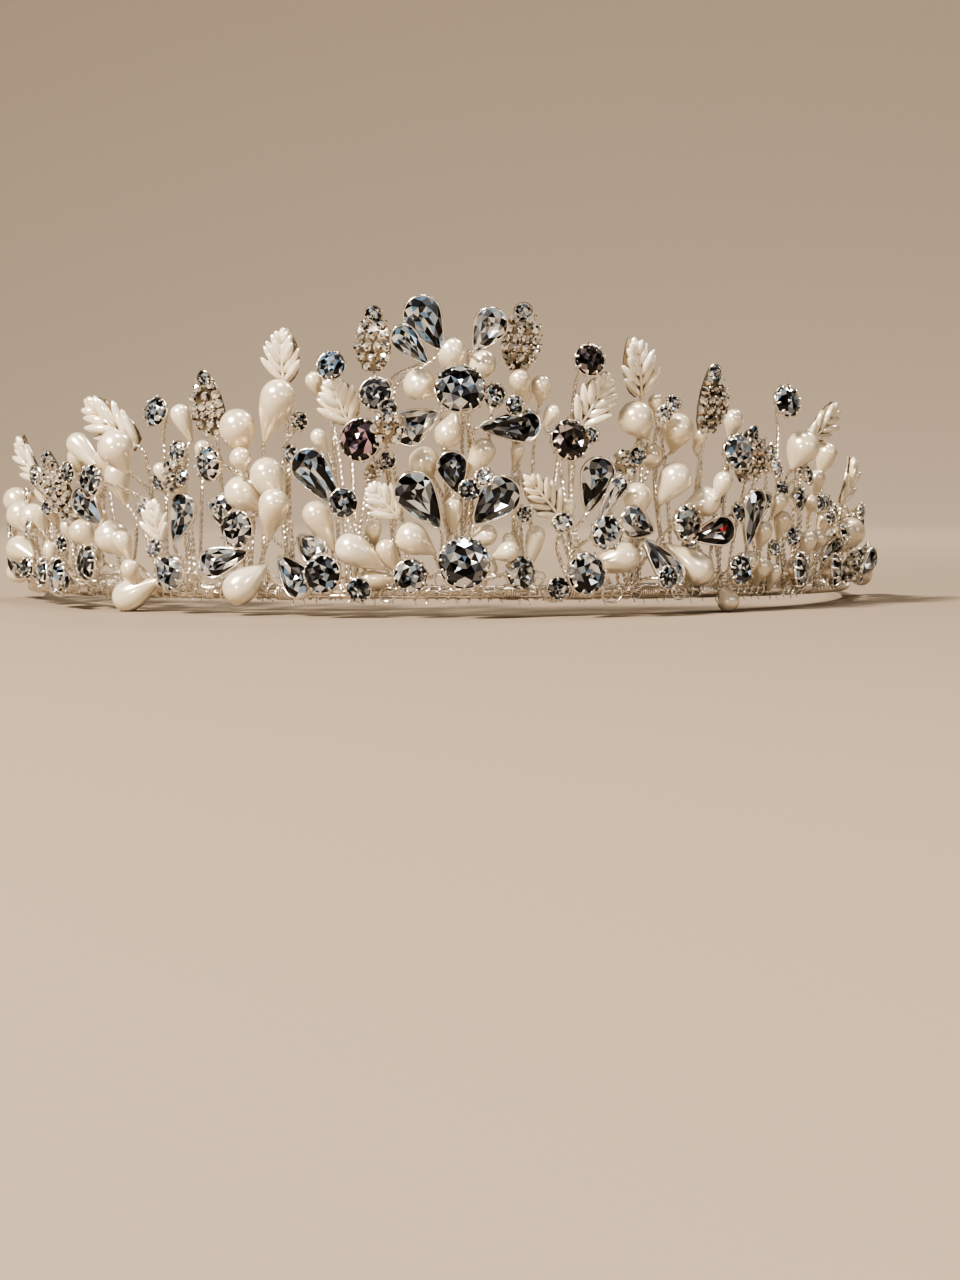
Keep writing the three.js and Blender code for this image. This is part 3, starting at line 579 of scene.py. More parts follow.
def leaf_piece(row):
    s, h, tip_s, tip_h, width, own, stones = row
    length = math.hypot(tip_s - s, tip_h - h)
    kind = "stone_leaf" if stones else "leaf"
    piece = Piece(kind, s, h, width, length, aim(s, h, tip_s, tip_h, leaf_lean), own)
    across = unit([piece.axis[1], -piece.axis[0], 0])
    piece.least_out = free_out + leaf_thick
    piece.blobs = [(piece.axis * length * far + across * side * width * wide, 0.24 * width)
                   for far, wide in ((0.2, 0.18), (0.45, 0.3), (0.72, 0.2)) for side in (-1, 1)]
    piece.root = -piece.axis * (clearance + stem_radius if own else -0.12 * length)
    return piece


# How far along and up from its root a wire may reach the layer of stems.
knees = [(0, -1.5), (0, -4), (-2.5, -2.5), (2.5, -2.5), (-4.5, -1), (4.5, -1), (0, -7), (-4, -5), (4, -5),
         (-6.5, -3), (6.5, -3), (0, 2.5), (-3, 2), (3, 2)]
stems = [[] for _ in sprays]
crowd_bulk = np.zeros((0, 4))
crowd_wires = np.zeros((0, 5))


def spray_of(s):
    return next((i for i, spray in enumerate(sprays) if s < spray[2]), len(sprays) - 1)


def stem_near(spray, s):
    return next((stem for stem in stems[spray] if abs(stem["s"] - s) < stem_reach), None)


def wire_route(piece, knee):
    """The ends of a piece's wire: its root at the piece, and its foot at a stem or on the rail."""
    root = np.array([piece.s, piece.h, piece.out]) + piece.root
    _, start, end = sprays[piece.spray]
    inset = rail_gap / 2 + stem_width
    straight = min(max(root[0] + knee[0], start + inset), end - inset)
    h = max(root[1] + knee[1], rail_height)
    if h < rail_height + rail_width:
        return root, np.array([straight, rail_height, rail_out])
    stem = stem_near(piece.spray, straight)
    return root, np.array([stem["s"] if stem else straight, h, rail_out])


def bulk_of(piece):
    """The spheres that stand for a piece, as rows of along, up, out and radius."""
    centre = np.array([piece.s, piece.h, piece.out])
    return np.array([[*(centre + offset), radius] for offset, radius in piece.blobs])


def wire_spheres(piece):
    """Spheres along a piece's wire, as such rows with the number of its spray."""
    root, foot = piece.route
    shares = (0.35, 0.65, 1)
    return np.array([[*(root + (foot - root) * share), stem_radius, piece.spray] for share in shares])


def apart(ones, others, gap):
    """Whether each sphere of the first rows stays more than a gap away from all the others."""
    if not len(ones) or not len(others):
        return True
    distance = np.linalg.norm(ones[:, None, :3] - others[None, :, :3], axis=2)
    return bool(np.all(distance > ones[:, None, 3] + others[None, :, 3] + gap))


def has_room(piece):
    bulk, wires = bulk_of(piece), wire_spheres(piece)
    if piece.own and not apart(wires, bulk, clearance):
        return False
    strangers = crowd_wires[crowd_wires[:, 4] != piece.spray]
    return (apart(bulk, crowd_bulk, clearance) and apart(wires, crowd_bulk, clearance)
            and apart(bulk, crowd_wires, clearance) and apart(wires, strangers, clearance))


def find_route(piece):
    """Gives a piece the first route with room for it and its wire, and says whether there is one."""
    for knee in knees:
        piece.route = wire_route(piece, knee)
        if has_room(piece):
            return True
    return False


def seat_piece(piece):
    """Adds a placed piece to the crowd, and its wire to a stem."""
    global crowd_bulk, crowd_wires
    crowd_bulk = np.concatenate([crowd_bulk, bulk_of(piece)])
    crowd_wires = np.concatenate([crowd_wires, wire_spheres(piece)])
    foot = piece.route[1]
    if foot[1] == rail_height:
        return
    stem = stem_near(piece.spray, foot[0])
    if stem:
        stem["top"] = max(stem["top"], foot[1])
    else:
        stems[piece.spray].append({"s": foot[0], "top": foot[1]})


main_pieces = ([leaf_piece(row) for row in leaves] + [pearl_piece(row) for row in pearls]
               + [pear_piece(row) for row in pear_crystals] + [round_piece(row) for row in round_crystals])
for piece in main_pieces:
    piece.spray = spray_of(piece.s + piece.root[0])
    steps = 0
    piece.out = piece.least_out
    while not find_route(piece):
        steps += 1
        piece.out = piece.least_out + steps * settle_step
    seat_piece(piece)

# The finest pieces are pushed in where there is a gap, and may press into their neighbours a little.
squeeze_room = -0.45
squeeze_most_out = 9.0
squeeze_step = 0.3
squeeze_least_share = 0.6


def squeeze_in(piece):
    piece.spray = spray_of(piece.s + piece.root[0])
    least_out = free_out + 0.5 * piece.width * squeeze_least_share
    trials = np.arange(least_out, squeeze_most_out, squeeze_step)
    rooms = []
    for out in trials:
        piece.out = out
        bulk = bulk_of(piece)
        distance = np.linalg.norm(bulk[:, None, :3] - crowd_bulk[None, :, :3], axis=2)
        rooms.append(float(np.min(distance - bulk[:, None, 3] - crowd_bulk[None, :, 3])))
    good = [i for i, room in enumerate(rooms) if room > squeeze_room]
    piece.out = float(trials[good[0] if good else int(np.argmax(rooms))])
    piece.route = wire_route(piece, knees[0])
    seat_piece(piece)


fine_pieces = ([leaf_piece(row) for row in small_leaves] + [pearl_piece(row) for row in small_pearls]
               + [pear_piece(row) for row in small_pears] + [round_piece(row) for row in small_rounds])
for piece in fine_pieces:
    squeeze_in(piece)

# Little stones and pearls fill what is still open under the crest, a line of along and height.
crest = np.array([(-109, 4), (-90, 17), (-65, 21), (-53, 21), (-38, 26), (-26, 30), (-12, 33), (8, 33),
                  (26, 29), (38, 25), (55, 20), (70, 17), (81, 12), (108, 3)])
filler_count = 78
filler_pearl_share = 0.45
filler_gap = 0.75
filler_gap_step = 0.002
filler_low = 1.5
filler_sizes = (2.0, 3.1)
filler_ends = (crest[0, 0] + 12, crest[-1, 0] - 14)
filler_seed = np.random.default_rng(21)
fillers = []
while len(fillers) < filler_count:
    s = filler_seed.uniform(*filler_ends)
    h = filler_seed.uniform(filler_low, float(np.interp(s, crest[:, 0], crest[:, 1])))
    size = filler_seed.uniform(*filler_sizes)
    flat_room = np.hypot(crowd_bulk[:, 0] - s, crowd_bulk[:, 1] - h) - crowd_bulk[:, 3] - size / 2
    filler_gap -= filler_gap_step
    if np.min(flat_room) < filler_gap:
        continue
    if filler_seed.uniform() < filler_pearl_share:
        tip = filler_seed.uniform(-1.5, 1.5)
        piece = pearl_piece((s, h, s + tip, h - 3, size, size * 1.6, 0))
    else:
        tint = ("clear", "bright", "dark")[filler_seed.integers(3)]
        piece = round_piece((s, h, size, filler_seed.uniform(-20, 20), filler_seed.uniform(-10, 15), 0, tint))
    squeeze_in(piece)
    fillers.append(piece)
all_pieces = main_pieces + fine_pieces + fillers

counts = {}
names = {"round": "round_crystal", "pear": "pear_crystal", "pearl": "pearl", "leaf": "leaf",
         "stone_leaf": "stone_leaf"}
for piece in sorted((one for one in main_pieces if one.own), key=lambda one: one.s):
    counts[piece.kind] = counts.get(piece.kind, 0) + 1
    piece.node = f"{names[piece.kind]}_{counts[piece.kind]}"


def own_pieces(*kinds):
    """The pieces of these kinds that the solids have a node for."""
    return [piece for piece in main_pieces if piece.own and piece.kind in kinds]


def shared_pieces(*kinds):
    """For each spray its name, its node and its pieces of these kinds that have no node of their own."""
    for number, (spray_name, _, _) in enumerate(sprays):
        group = [one for one in all_pieces if one.spray == number and not one.own and one.kind in kinds]
        if group:
            yield spray_name, [f"wire_spray_{spray_name}"], group


def local_axes(piece):
    """Along the band, up and outward at a piece, as rows."""
    along, outward = (rows[0] for rows in axes_at_angle(angle_at(piece.s)))
    return np.stack([along, up, outward])


def basis_of(piece):
    """A piece's centre, and rows for across, along the point and out of the face."""
    local = local_axes(piece)
    outward = local[2]
    axis = piece.axis @ local
    centre = place(piece.s, piece.h, piece.out)[0]
    if piece.kind == "round":
        across = unit(np.cross(up, axis))
        return centre, np.stack([across, np.cross(axis, across), axis])
    face = unit(outward - axis * (outward @ axis))
    return centre, np.stack([np.cross(axis, face), axis, face])


def set_in(piece, points):
    centre, rows = basis_of(piece)
    return centre + np.asarray(points) @ rows


# The wires
# Each piece's wire is doubled and twisted. It runs back to a stem, down the stem and along the band,
# where a finer wire ties it down.
strand_radius = 0.16
strand_turn = 0.17
twist_pitch = 1.7
wire_step = 0.25
gather_pitch = 8.5
gather_share = 0.6
gather_most = 2.6
foot_spread = 1.3
foot_rise = 0.4
low_foot = 1.5
low_bow = 0.38
high_bow = 1.6
knee_drop = (1.0, 2.4)
knee_least = 1.2
knee_swing = 0.5
knee_out = (0.1, 1.3)
rail_tail = 5
rail_strand_radius = 0.19
rail_turn = 0.27
rail_pitch = 5.0


def bezier(a, b, c, d, count):
    t = np.linspace(0, 1, count)[:, None]
    return a * (1 - t) ** 3 + 3 * b * t * (1 - t) ** 2 + 3 * c * t**2 * (1 - t) + d * t**3


def evenly(path, step):
    """The same path with points a step apart."""
    lengths = np.concatenate([[0], np.cumsum(np.linalg.norm(np.diff(path, axis=0), axis=1))])
    count = max(4, int(lengths[-1] / step))
    marks = np.linspace(0, lengths[-1], count)
    return np.stack([np.interp(marks, lengths, path[:, i]) for i in range(3)], axis=1)


def wire_line(piece, order, random):
    """The middle of a piece's wire, from the piece to its end on the band. The hand leaves it uneven."""
    local = local_axes(piece)
    root = basis_of(piece)[0] + piece.root @ local
    leaving = (piece.axis if piece.kind in ("pear", "pearl") else -piece.axis) @ local
    root = root - leaving * (clearance + stem_radius if piece.own else 0)
    s, h, _ = piece.route[1]
    _, start, end = sprays[piece.spray]
    gathered = gather_pitch * round(s / gather_pitch)
    foot_s = s + min(max(gather_share * (gathered - s), -gather_most), gather_most)
    foot_s += random.uniform(-foot_spread, foot_spread)
    foot_s = min(max(foot_s, start + rail_gap), end - rail_gap)
    foot = place(foot_s, rail_height + foot_rise, rail_out + strand_radius / 2 * order)[0]
    if h < rail_height + low_foot:
        bow = low_bow * np.linalg.norm(foot - root)
        line = bezier(root, root + leaving * bow, foot + up * min(bow, low_foot), foot, 24)
    else:
        knee_h = max(h - random.uniform(*knee_drop), rail_height + knee_least)
        knee_s = s + random.uniform(-knee_swing, knee_swing)
        knee = place(knee_s, knee_h, rail_out + random.uniform(*knee_out))[0]
        heading = unit(unit(foot - knee) + 0.6 * unit(knee - root))
        reach = np.linalg.norm(foot - knee)
        upper = bezier(root, root + leaving * high_bow, knee - heading * 1.2, knee, 16)
        lower = bezier(knee, knee + heading * 0.35 * reach, foot + up * 0.3 * reach, foot, 20)
        line = np.concatenate([upper, lower[1:]])
    toward = -1 if foot_s > (start + end) / 2 else 1
    tail_s = foot_s + toward * np.linspace(0.6, rail_tail, 10)
    tail = place(tail_s, np.full(10, rail_height + 0.1), np.full(10, rail_out + 0.05))
    return evenly(np.concatenate([line, tail]), wire_step)


def twisted(line, phase, radius=strand_radius, turn=strand_turn, pitch=twist_pitch, strands=2):
    """Strands wound about a line, each a tube."""
    _, side, other = frames_along(line)
    travel = np.arange(len(line)) * np.linalg.norm(line[1] - line[0])
    parts = []
    for k in range(strands):
        angle = 2 * math.pi * (travel / pitch + k / strands) + phase
        offset = side * np.cos(angle)[:, None] + other * np.sin(angle)[:, None]
        parts.append(tube(line + offset * turn, radius, 5))
    return parts


wire_seed = np.random.default_rng(3)
for number, (spray_name, start, end) in enumerate(sprays):
    rail_s = np.arange(start + rail_gap / 2, end - rail_gap / 2, 0.6)
    rail_line = place(rail_s, np.full(len(rail_s), rail_height), np.full(len(rail_s), rail_out))
    parts = twisted(rail_line, 0.5 * number, rail_strand_radius, rail_turn, rail_pitch, 3)
    used = {}
    for piece in (one for one in all_pieces if one.spray == number):
        key = round(piece.route[1][0], 1)
        used[key] = used.get(key, -1) + 1
        parts += twisted(wire_line(piece, used[key], wire_seed), wire_seed.uniform(0, 2 * math.pi))
    make_piece(f"wires_{spray_name}", parts, silver, [f"wire_spray_{spray_name}"])

# The binding wire
# One long fine wire is wound round the band and the ends of the sprays, close at the lashings and
# wide between them. It leaves small loops above the band, four curls and short cut ends under it.
binding_radius = 0.13
wide_pitch = 1.6
close_pitch = 0.34
lashing_inset = 5
lashing_reach = 1.6
turn_points = 14
turn_squareness = 0.7
loop_count = 70
loop_wire = 0.1
curl_wire = 0.17
tick_pitch = 2.3
tick_reach = 66
tick_wire = 0.09
# along the band, radius
curls = [(12.8, 1.3), (21.9, 1.5), (33.6, 1.1), (-11.5, 1.2)]
lashings = [spot for _, start, end in sprays
            for spot in (start + rail_gap / 2 + lashing_inset, end - rail_gap / 2 - lashing_inset)]
turn_starts = [sprays[0][1] + rail_gap]
while turn_starts[-1] < sprays[-1][2] - rail_gap:
    near = min(abs(turn_starts[-1] - spot) for spot in lashings)
    turn_starts.append(turn_starts[-1] + (close_pitch if near < lashing_reach else wide_pitch))
turn_marks = np.arange(0, len(turn_starts) - 1, 1 / turn_points)
turns = np.interp(turn_marks, np.arange(len(turn_starts)), turn_starts)
winding = 2 * math.pi * np.arange(len(turns)) / turn_points
half_out = (rail_out + rail_width / 2 + band_thick / 2) / 2 + binding_radius
middle_out = (rail_out + rail_width / 2 - band_thick / 2) / 2
half_up = band_height / 2 + binding_radius
waves = np.stack([np.cos(winding), np.sin(winding)])
bow_out, bow_up = np.sign(waves) * np.abs(waves) ** turn_squareness
binding = place(turns, rail_height + half_up * bow_up, middle_out + half_out * bow_out)
parts = [tube(binding, binding_radius, 5)]
loop_seed = np.random.default_rng(11)
run = np.linspace(0, 1, 22)
for s in loop_seed.uniform(sprays[0][1] + 6, sprays[-1][2] - 6, loop_count):
    size = loop_seed.uniform(0.7, 1.3)
    tall = loop_seed.uniform(1.6, 3.4)
    swing = loop_seed.uniform(-0.8, 0.8)
    forward = loop_seed.uniform(0.6, 2.6)
    loop_s = s + swing * np.sin(math.pi * run) + size * np.sin(2 * math.pi * run)
    loop_h = rail_height + tall * np.sin(math.pi * run) ** 0.8
    loop_out = rail_out + 0.3 + forward * np.sin(math.pi * run)
    parts.append(tube(place(loop_s, loop_h, loop_out), loop_wire, 5))
curl_turns = np.linspace(0, 2 * math.pi, 20)[:-1]
for s, curl in curls:
    ring = place(s + curl * np.cos(curl_turns), rail_height - 0.3 + 0.85 * curl * np.sin(curl_turns),
                 rail_out + 0.9 + 0.3 * np.cos(curl_turns))
    parts.append(tube(ring, curl_wire, 6, closed=True))
tick_seed = np.random.default_rng(5)
for s in np.arange(-tick_reach, tick_reach, tick_pitch):
    tick_s = s + tick_seed.uniform(-0.8, 0.8)
    bend = tick_seed.uniform(-0.4, 0.4)
    tall = tick_seed.uniform(0.3, 0.85)
    low = rail_height - half_up
    tick = place([tick_s, tick_s + bend * 0.3, tick_s + bend], [low + 0.2, low - tall / 2, low - tall],
                 [middle_out, middle_out + 0.1, middle_out + 0.3])
    parts.append(tube(tick, tick_wire, 5))
make_piece("binding_wire", parts, silver, ["band"])

# The crystals
# Round and pear shaped stones of lead glass, cut with a table and facets and backed with foil. Their
# reflections are painted: each facet gets a painted tone, from black through grey to a white glint or a sky
# blue flash, and a few facets of the red stone get a painted red glint. The tint over them is each stone's
# own.
crown_height = 0.2
table_share = 0.58
star_share = 0.8
# Painted red glints: four facets of the red stone are coloured red as flashes of fire.
red_glint_facets = [13, 26, 27, 38]
painted_red_glint = (0.55, 0.02, 0.03)
# The shares of the five painted reflection tones, from black to sky blue, and the stone's own colour over
# them all.
tints = {
    "clear": ((0.3, 0.12, 0.17, 0.34, 0.07), (0.95, 0.98, 1)),
    "bright": ((0.14, 0.08, 0.2, 0.5, 0.08), (1, 1, 1)),
    "dark": ((0.46, 0.16, 0.14, 0.2, 0.04), (0.88, 0.95, 1)),
    "grey": ((0.2, 0.34, 0.34, 0.12, 0.0), (0.95, 0.97, 1)),
    "blue": ((0.22, 0.2, 0.14, 0.2, 0.24), (0.93, 0.98, 1)),
    "aubergine": ((0.5, 0.26, 0.16, 0.08, 0.0), (0.66, 0.46, 0.54)),
    "brown": ((0.42, 0.28, 0.16, 0.12, 0.02), (0.95, 0.76, 0.7)),
    "red": ((0.5, 0.22, 0.1, 0.1, 0.0), (1, 0.9, 0.88)),
}
# Painted reflections: near black, dark grey, grey, white glint and sky blue.
painted_reflection_tones = np.array([(0.012, 0.012, 0.014), (0.08, 0.085, 0.1), (0.3, 0.32, 0.36), (0.95, 0.95, 0.96),
                         (0.42, 0.62, 0.9)])


def round_outline(t, width, length):
    return np.stack([0.5 * width * np.sin(t), 0.5 * width * np.cos(t)], axis=-1)


def pear_outline(t, width, length):
    """A round head behind, drawn out to a point ahead. The point is at t 0."""
    half = width / 2
    x = half * np.sin(t) * np.where(np.cos(t) > 0, 1 - 0.42 * np.abs(np.cos(t)) ** 1.6, 1)
    y = np.where(np.cos(t) > 0, (length - half) * np.abs(np.cos(t)) ** 1.25, half * np.cos(t))
    return np.stack([x, y], axis=-1)


def ring_at(outline, turn, count, share, middle, height, width, length):
    """Points round an outline at one height, scaled about a middle. The turn is in steps of the ring."""
    t = 2 * math.pi * (np.arange(count) + turn) / count
    flat = outline(t, width, length)
    flat = middle + (flat - middle) * share
    return np.c_[flat, np.full(count, height)]


def cut_stone(outline, width, length, seed, tint):
    """Points, facets and a painted reflection tone for each facet. The table faces out."""
    middle = np.array([0, 0.1 * (length - width)])
    crown, edge = crown_height * width, girdle_half * width
    rings = [
        np.array([[*middle, crown]]),
        ring_at(outline, 0.5, 8, 0.28, middle, crown - 0.035 * width, width, length),
        ring_at(outline, 0, 8, table_share, middle, crown, width, length),
        ring_at(outline, 0.5, 8, star_share, middle, 0.7 * crown, width, length),
        ring_at(outline, 0, 16, 1, middle, edge, width, length),
        ring_at(outline, 0, 16, 1, middle, -edge, width, length),
        ring_at(outline, 0, 8, 0.55, middle, -0.26 * width, width, length),
        np.array([[*middle, -pavilion_depth * width]]),
    ]
    starts = np.cumsum([0] + [len(ring) for ring in rings])
    # Where each ring starts: centre, inner and outer table, star, girdle, under it, pavilion, point.
    c, i, t, s, g, u, v, p = starts[:8]
    faces = []
    for k in range(8):
        n = (k + 1) % 8
        a, b, d = 2 * k, 2 * k + 1, (2 * k + 2) % 16
        faces += [(c, i + k, i + n), (i + k, t + n, i + n), (t + k, t + n, i + k), (t + k, s + k, t + n),
                  (t + n, s + k, g + d, s + n), (s + k, g + a, g + b), (s + k, g + b, g + d),
                  (g + a, u + a, u + b, g + b), (g + b, u + b, u + d, g + d),
                  (u + a, v + k, u + b), (u + b, v + k, v + n), (u + b, v + n, u + d), (v + k, p, v + n)]
    random = np.random.default_rng(seed)
    shares, colour = tints[tint]
    shares = np.array(shares) / sum(shares)
    picks = random.choice(5, size=len(faces), p=shares)
    painted_tones = painted_reflection_tones[picks] * np.array(colour) * random.uniform(0.8, 1.1, (len(faces), 1))
    # The red stone gets its painted red glints.
    if tint == "red":
        painted_tones[red_glint_facets] = painted_red_glint
    return np.concatenate(rings), faces, painted_tones


# The group passes each facet's painted reflection tone to the stone's colour, dimmed a little in random
# clouds.
painted_facet_stone, painted_facet_in, painted_facet_out = new_group(
    "painted_facet_stone",
    [("Painted Reflection", "NodeSocketColor", (1, 1, 1, 1)), ("Cloud", "NodeSocketFloat", 0.2)],
    [("Color", "NodeSocketColor"), ("Roughness", "NodeSocketFloat")])
clouding = noise_node(painted_facet_stone, 900.0, 2)
dimmed = mix_node(painted_facet_stone, painted_facet_in.outputs["Cloud"], painted_facet_in.outputs["Painted Reflection"], clouding.outputs["Color"],
                  "MULTIPLY")
feed(painted_facet_stone, painted_facet_out.inputs["Color"], dimmed)
feed(painted_facet_stone, painted_facet_out.inputs["Roughness"], range_node(painted_facet_stone, clouding.outputs["Fac"], 0.03, 0.12))
glassy = {"Metallic": 0.85, "Coat Weight": 1.0, "Coat Roughness": 0.02, "IOR": 1.6}
crystal, painted_facet_node = grouped_finish("cut_crystal", painted_facet_stone, {"Cloud": 0.15}, glassy)
# The painted reflection tone of each facet, read from the mesh.
facet_painted_tone = crystal.node_tree.nodes.new("ShaderNodeVertexColor")
facet_painted_tone.layer_name = "painted_reflection"
feed(crystal.node_tree, painted_facet_node.inputs["Painted Reflection"], facet_painted_tone.outputs["Color"])


def stone_part(piece):
    outline = round_outline if piece.kind == "round" else pear_outline
    points, faces, painted_tones = cut_stone(outline, piece.width, piece.length, piece.seed, piece.tint)
    return set_in(piece, points), faces, painted_tones


for seed, piece in enumerate(all_pieces):
    piece.seed = 100 + seed
for piece in own_pieces("round", "pear"):
    make_piece(f"{piece.node}_cut", [stone_part(piece)], crystal, [piece.node], smooth=False)
for spray_name, nodes, group in shared_pieces("round", "pear"):
    parts = [stone_part(one) for one in group]
    make_piece(f"small_crystals_{spray_name}", parts, crystal, nodes, smooth=False)

# The settings
# A round stone sits in a cup of thin silver with a comb of claws bent over its edge. A pear stone has
# a closed back and a thin rim.
claw_radius = 0.2
claw_pitch = 1.45
cup_room = 0.22
cup_sides = 20
small_cup = 4.2
small_claw_share = 0.8
rim_radius = 0.17
rim_seat = 0.12
rim_back_seat = 0.3
rim_sides = 20


def lathe(profile, sides):
    """A turned form about the third axis. The profile's rows are radius and height, from end to end."""
    angles = 2 * math.pi * np.arange(sides) / sides
    points, rows = [], []
    for radius, height in profile:
        rows.append(len(points))
        if radius == 0:
            points.append((0, 0, height))
        else:
            points += [(radius * math.cos(a), radius * math.sin(a), height) for a in angles]
    faces = []
    for i in range(len(profile) - 1):
        here, after = rows[i], rows[i + 1]
        for k in range(sides):
            n = (k + 1) % sides
            if profile[i][0] == 0:
                faces.append((here, after + n, after + k))
            elif profile[i + 1][0] == 0:
                faces.append((here + k, here + n, after))
            else:
                faces.append((here + k, here + n, after + n, after + k))
    return np.array(points, float), faces


def cup_parts(piece):
    """The cup of a round stone, and its claws."""
    w = piece.width
    wall = 0.5 * w + cup_room
    depth = cup_depth(w) if piece.own else 0.5 * w
    outside = [(0, -depth), (0.5, -depth), (0.62 * wall, -0.62 * depth), (wall, -0.22 * depth)]
    lip = [(wall + 0.05, -0.02 * w), (wall - 0.12, -0.01 * w)]
    points, faces = lathe(outside + lip + [(wall - 0.2, -0.2 * depth), (0, -0.75 * depth)], cup_sides)
    parts = [(set_in(piece, points), faces)]
    claws = max(8, round(math.pi * w / claw_pitch))
    radius = claw_radius * (small_claw_share if w < small_cup else 1)
    for k in range(claws):
        a = 2 * math.pi * (k + 0.25) / claws
        out = np.array([math.cos(a), math.sin(a), 0])
        line = np.array([out * (wall - 0.02) + [0, 0, -0.24 * depth], out * (wall + 0.08) + [0, 0, 0.02 * w],
                         out * (0.5 * w + 0.08) + [0, 0, 0.1 * w], out * (0.46 * w) + [0, 0, 0.14 * w]])
        points, faces = tube(line, radius, 6)
        parts.append((set_in(piece, points), faces))
    return parts


def rim_parts(piece):
    """The closed back of a pear stone, and its rim."""
    w = piece.width
    middle = np.array([0, 0.1 * (piece.length - w)])
    grown = 1 + rim_back_seat / w
    rows = [(0.85, 0.01), (grown, 0.0), (grown, -0.08), (0.6, -0.33)]
    back = [ring_at(pear_outline, 0, rim_sides, share, middle, height * w, w, piece.length)
            for share, height in rows]
    back.append(np.array([[*middle, -0.47 * w]]))
    turns = [(k, (k + 1) % rim_sides) for k in range(rim_sides)]
    faces = [tuple(range(rim_sides))]
    for low in range(0, 3 * rim_sides, rim_sides):
        faces += [(low + k, low + n, low + rim_sides + n, low + rim_sides + k) for k, n in turns]
    faces += [(3 * rim_sides + k, 3 * rim_sides + n, 4 * rim_sides) for k, n in turns]
    parts = [(set_in(piece, np.concatenate(back)), faces)]
    line = ring_at(pear_outline, 0, 32, 1 + rim_seat / w, middle, 0.03 * w, w, piece.length)
    points, faces = tube(line, rim_radius, 6, closed=True)
    parts.append((set_in(piece, points), faces))
    return parts


for piece in own_pieces("pear"):
    make_piece(f"{piece.node}_rim", rim_parts(piece), silver, [piece.node])
for number, (spray_name, _, _) in enumerate(sprays):
    parts = []
    for piece in (one for one in all_pieces if one.spray == number):
        if piece.kind == "round":
            parts += cup_parts(piece)
        elif piece.kind == "pear" and not piece.own:
            parts += rim_parts(piece)
    if parts:
        make_piece(f"settings_{spray_name}", parts, silver, [f"wire_spray_{spray_name}"])

# The drop pearls
# Glass pearls with an ivory nacre coat, dipped in many thin layers. Each is round in front and drawn
# to a neck behind, which is glued to the end of its wire.
pearl_sides = 24
pearl_rows = 12
neck_radius = 0.3

nacre = patchy_group("nacre", 120.0, 2, 5000.0, 3, patchy_gloss=False)


def nacre_finish(name, light, warm, smooth, rough, metallic, grain_depth):
    values = {"First": (*light, 1), "Second": (*warm, 1), "Smooth": smooth, "Rough": rough}
    lacquered = {"Metallic": metallic, "Coat Weight": 1.0, "Coat Roughness": 0.05}
    return grouped_finish(name, nacre, values, lacquered, grain_depth)[0]


pearl_coat = nacre_finish("pearl_nacre", (0.86, 0.78, 0.64), (0.73, 0.63, 0.48), 0.21, 0.26, 0.42, 2e-7)


def pearl_part(piece):
    """Half a ball in front, and a curve behind that runs out to the neck."""
    half = piece.width / 2
    reach = piece.length - half
    back = np.linspace(-math.pi / 2, 0, pearl_rows)[1:-1]
    ahead = np.linspace(0, 1, pearl_rows)
    profile = [(0, -half)] + [(half * math.cos(a), half * math.sin(a)) for a in back]
    necks = neck_radius + (half - neck_radius) * np.cos(math.pi / 2 * ahead) ** 1.3
    profile += list(zip(necks, reach * ahead)) + [(0, reach)]
    points, faces = lathe(profile, pearl_sides)
    return set_in(piece, points[:, [0, 2, 1]]), faces


for piece in own_pieces("pearl"):
    make_piece(f"{piece.node}_drop", [pearl_part(piece)], pearl_coat, [piece.node])
for spray_name, nodes, group in shared_pieces("pearl"):
    make_piece(f"small_pearls_{spray_name}", [pearl_part(one) for one in group], pearl_coat, nodes)

# The cast leaves
# Thin cast leaves in ivory pearl enamel: a midrib with pairs of grains like rice, over a silver plate whose
# edge shows. The plate is dark as painted shade in the gaps between the grains.
leaf_bow = 0.09
grain_pairs = 5
grains_start = 0.02
grains_span = 0.68
low_grain_angle = math.radians(40)
tip_grain_angle = math.radians(23)
grain_lift = 0.24
grain_lift_change = 0.09
grain_radius_share = 0.1
grain_sides = 8
tip_grain_start = 0.7
tip_grain_length = 0.29
tip_grain_radius = 0.11
midrib_radius = 0.24
plate_rows = 12
leaf_far = (0, 0.15, 0.4, 0.65, 0.85, 1)
leaf_wide = (0.3, 0.78, 1, 0.86, 0.5, 0.1)
enamel = nacre_finish("ivory_enamel", (0.92, 0.87, 0.76), (0.8, 0.71, 0.56), 0.08, 0.16, 0.35, 1e-6)
# The leaf plate's dark silver is painted shade in the gaps between the grains.
leaf_gap_shade = plated_metal("leaf_gap_shade", (0.5, 0.45, 0.38), (0.24, 0.19, 0.14), 0.2, 0.42)


def bow_at(far, length):
    return np.sin(math.pi * np.clip(far, 0, 1)) * length * leaf_bow


def grain_part(root, heading, length, radius):
    """One grain, from its root along its heading."""
    profile = [(0, 0), (0.45 * radius, 0.04 * length), (0.85 * radius, 0.2 * length), (radius, 0.48 * length),
               (0.8 * radius, 0.76 * length), (0.4 * radius, 0.94 * length), (0, length)]
    points, faces = lathe(profile, grain_sides)
    ahead = unit(heading)
    side = unit(np.cross(ahead, [0, 0, 1]))
    return root + points @ np.stack([side, np.cross(ahead, side), ahead]), faces


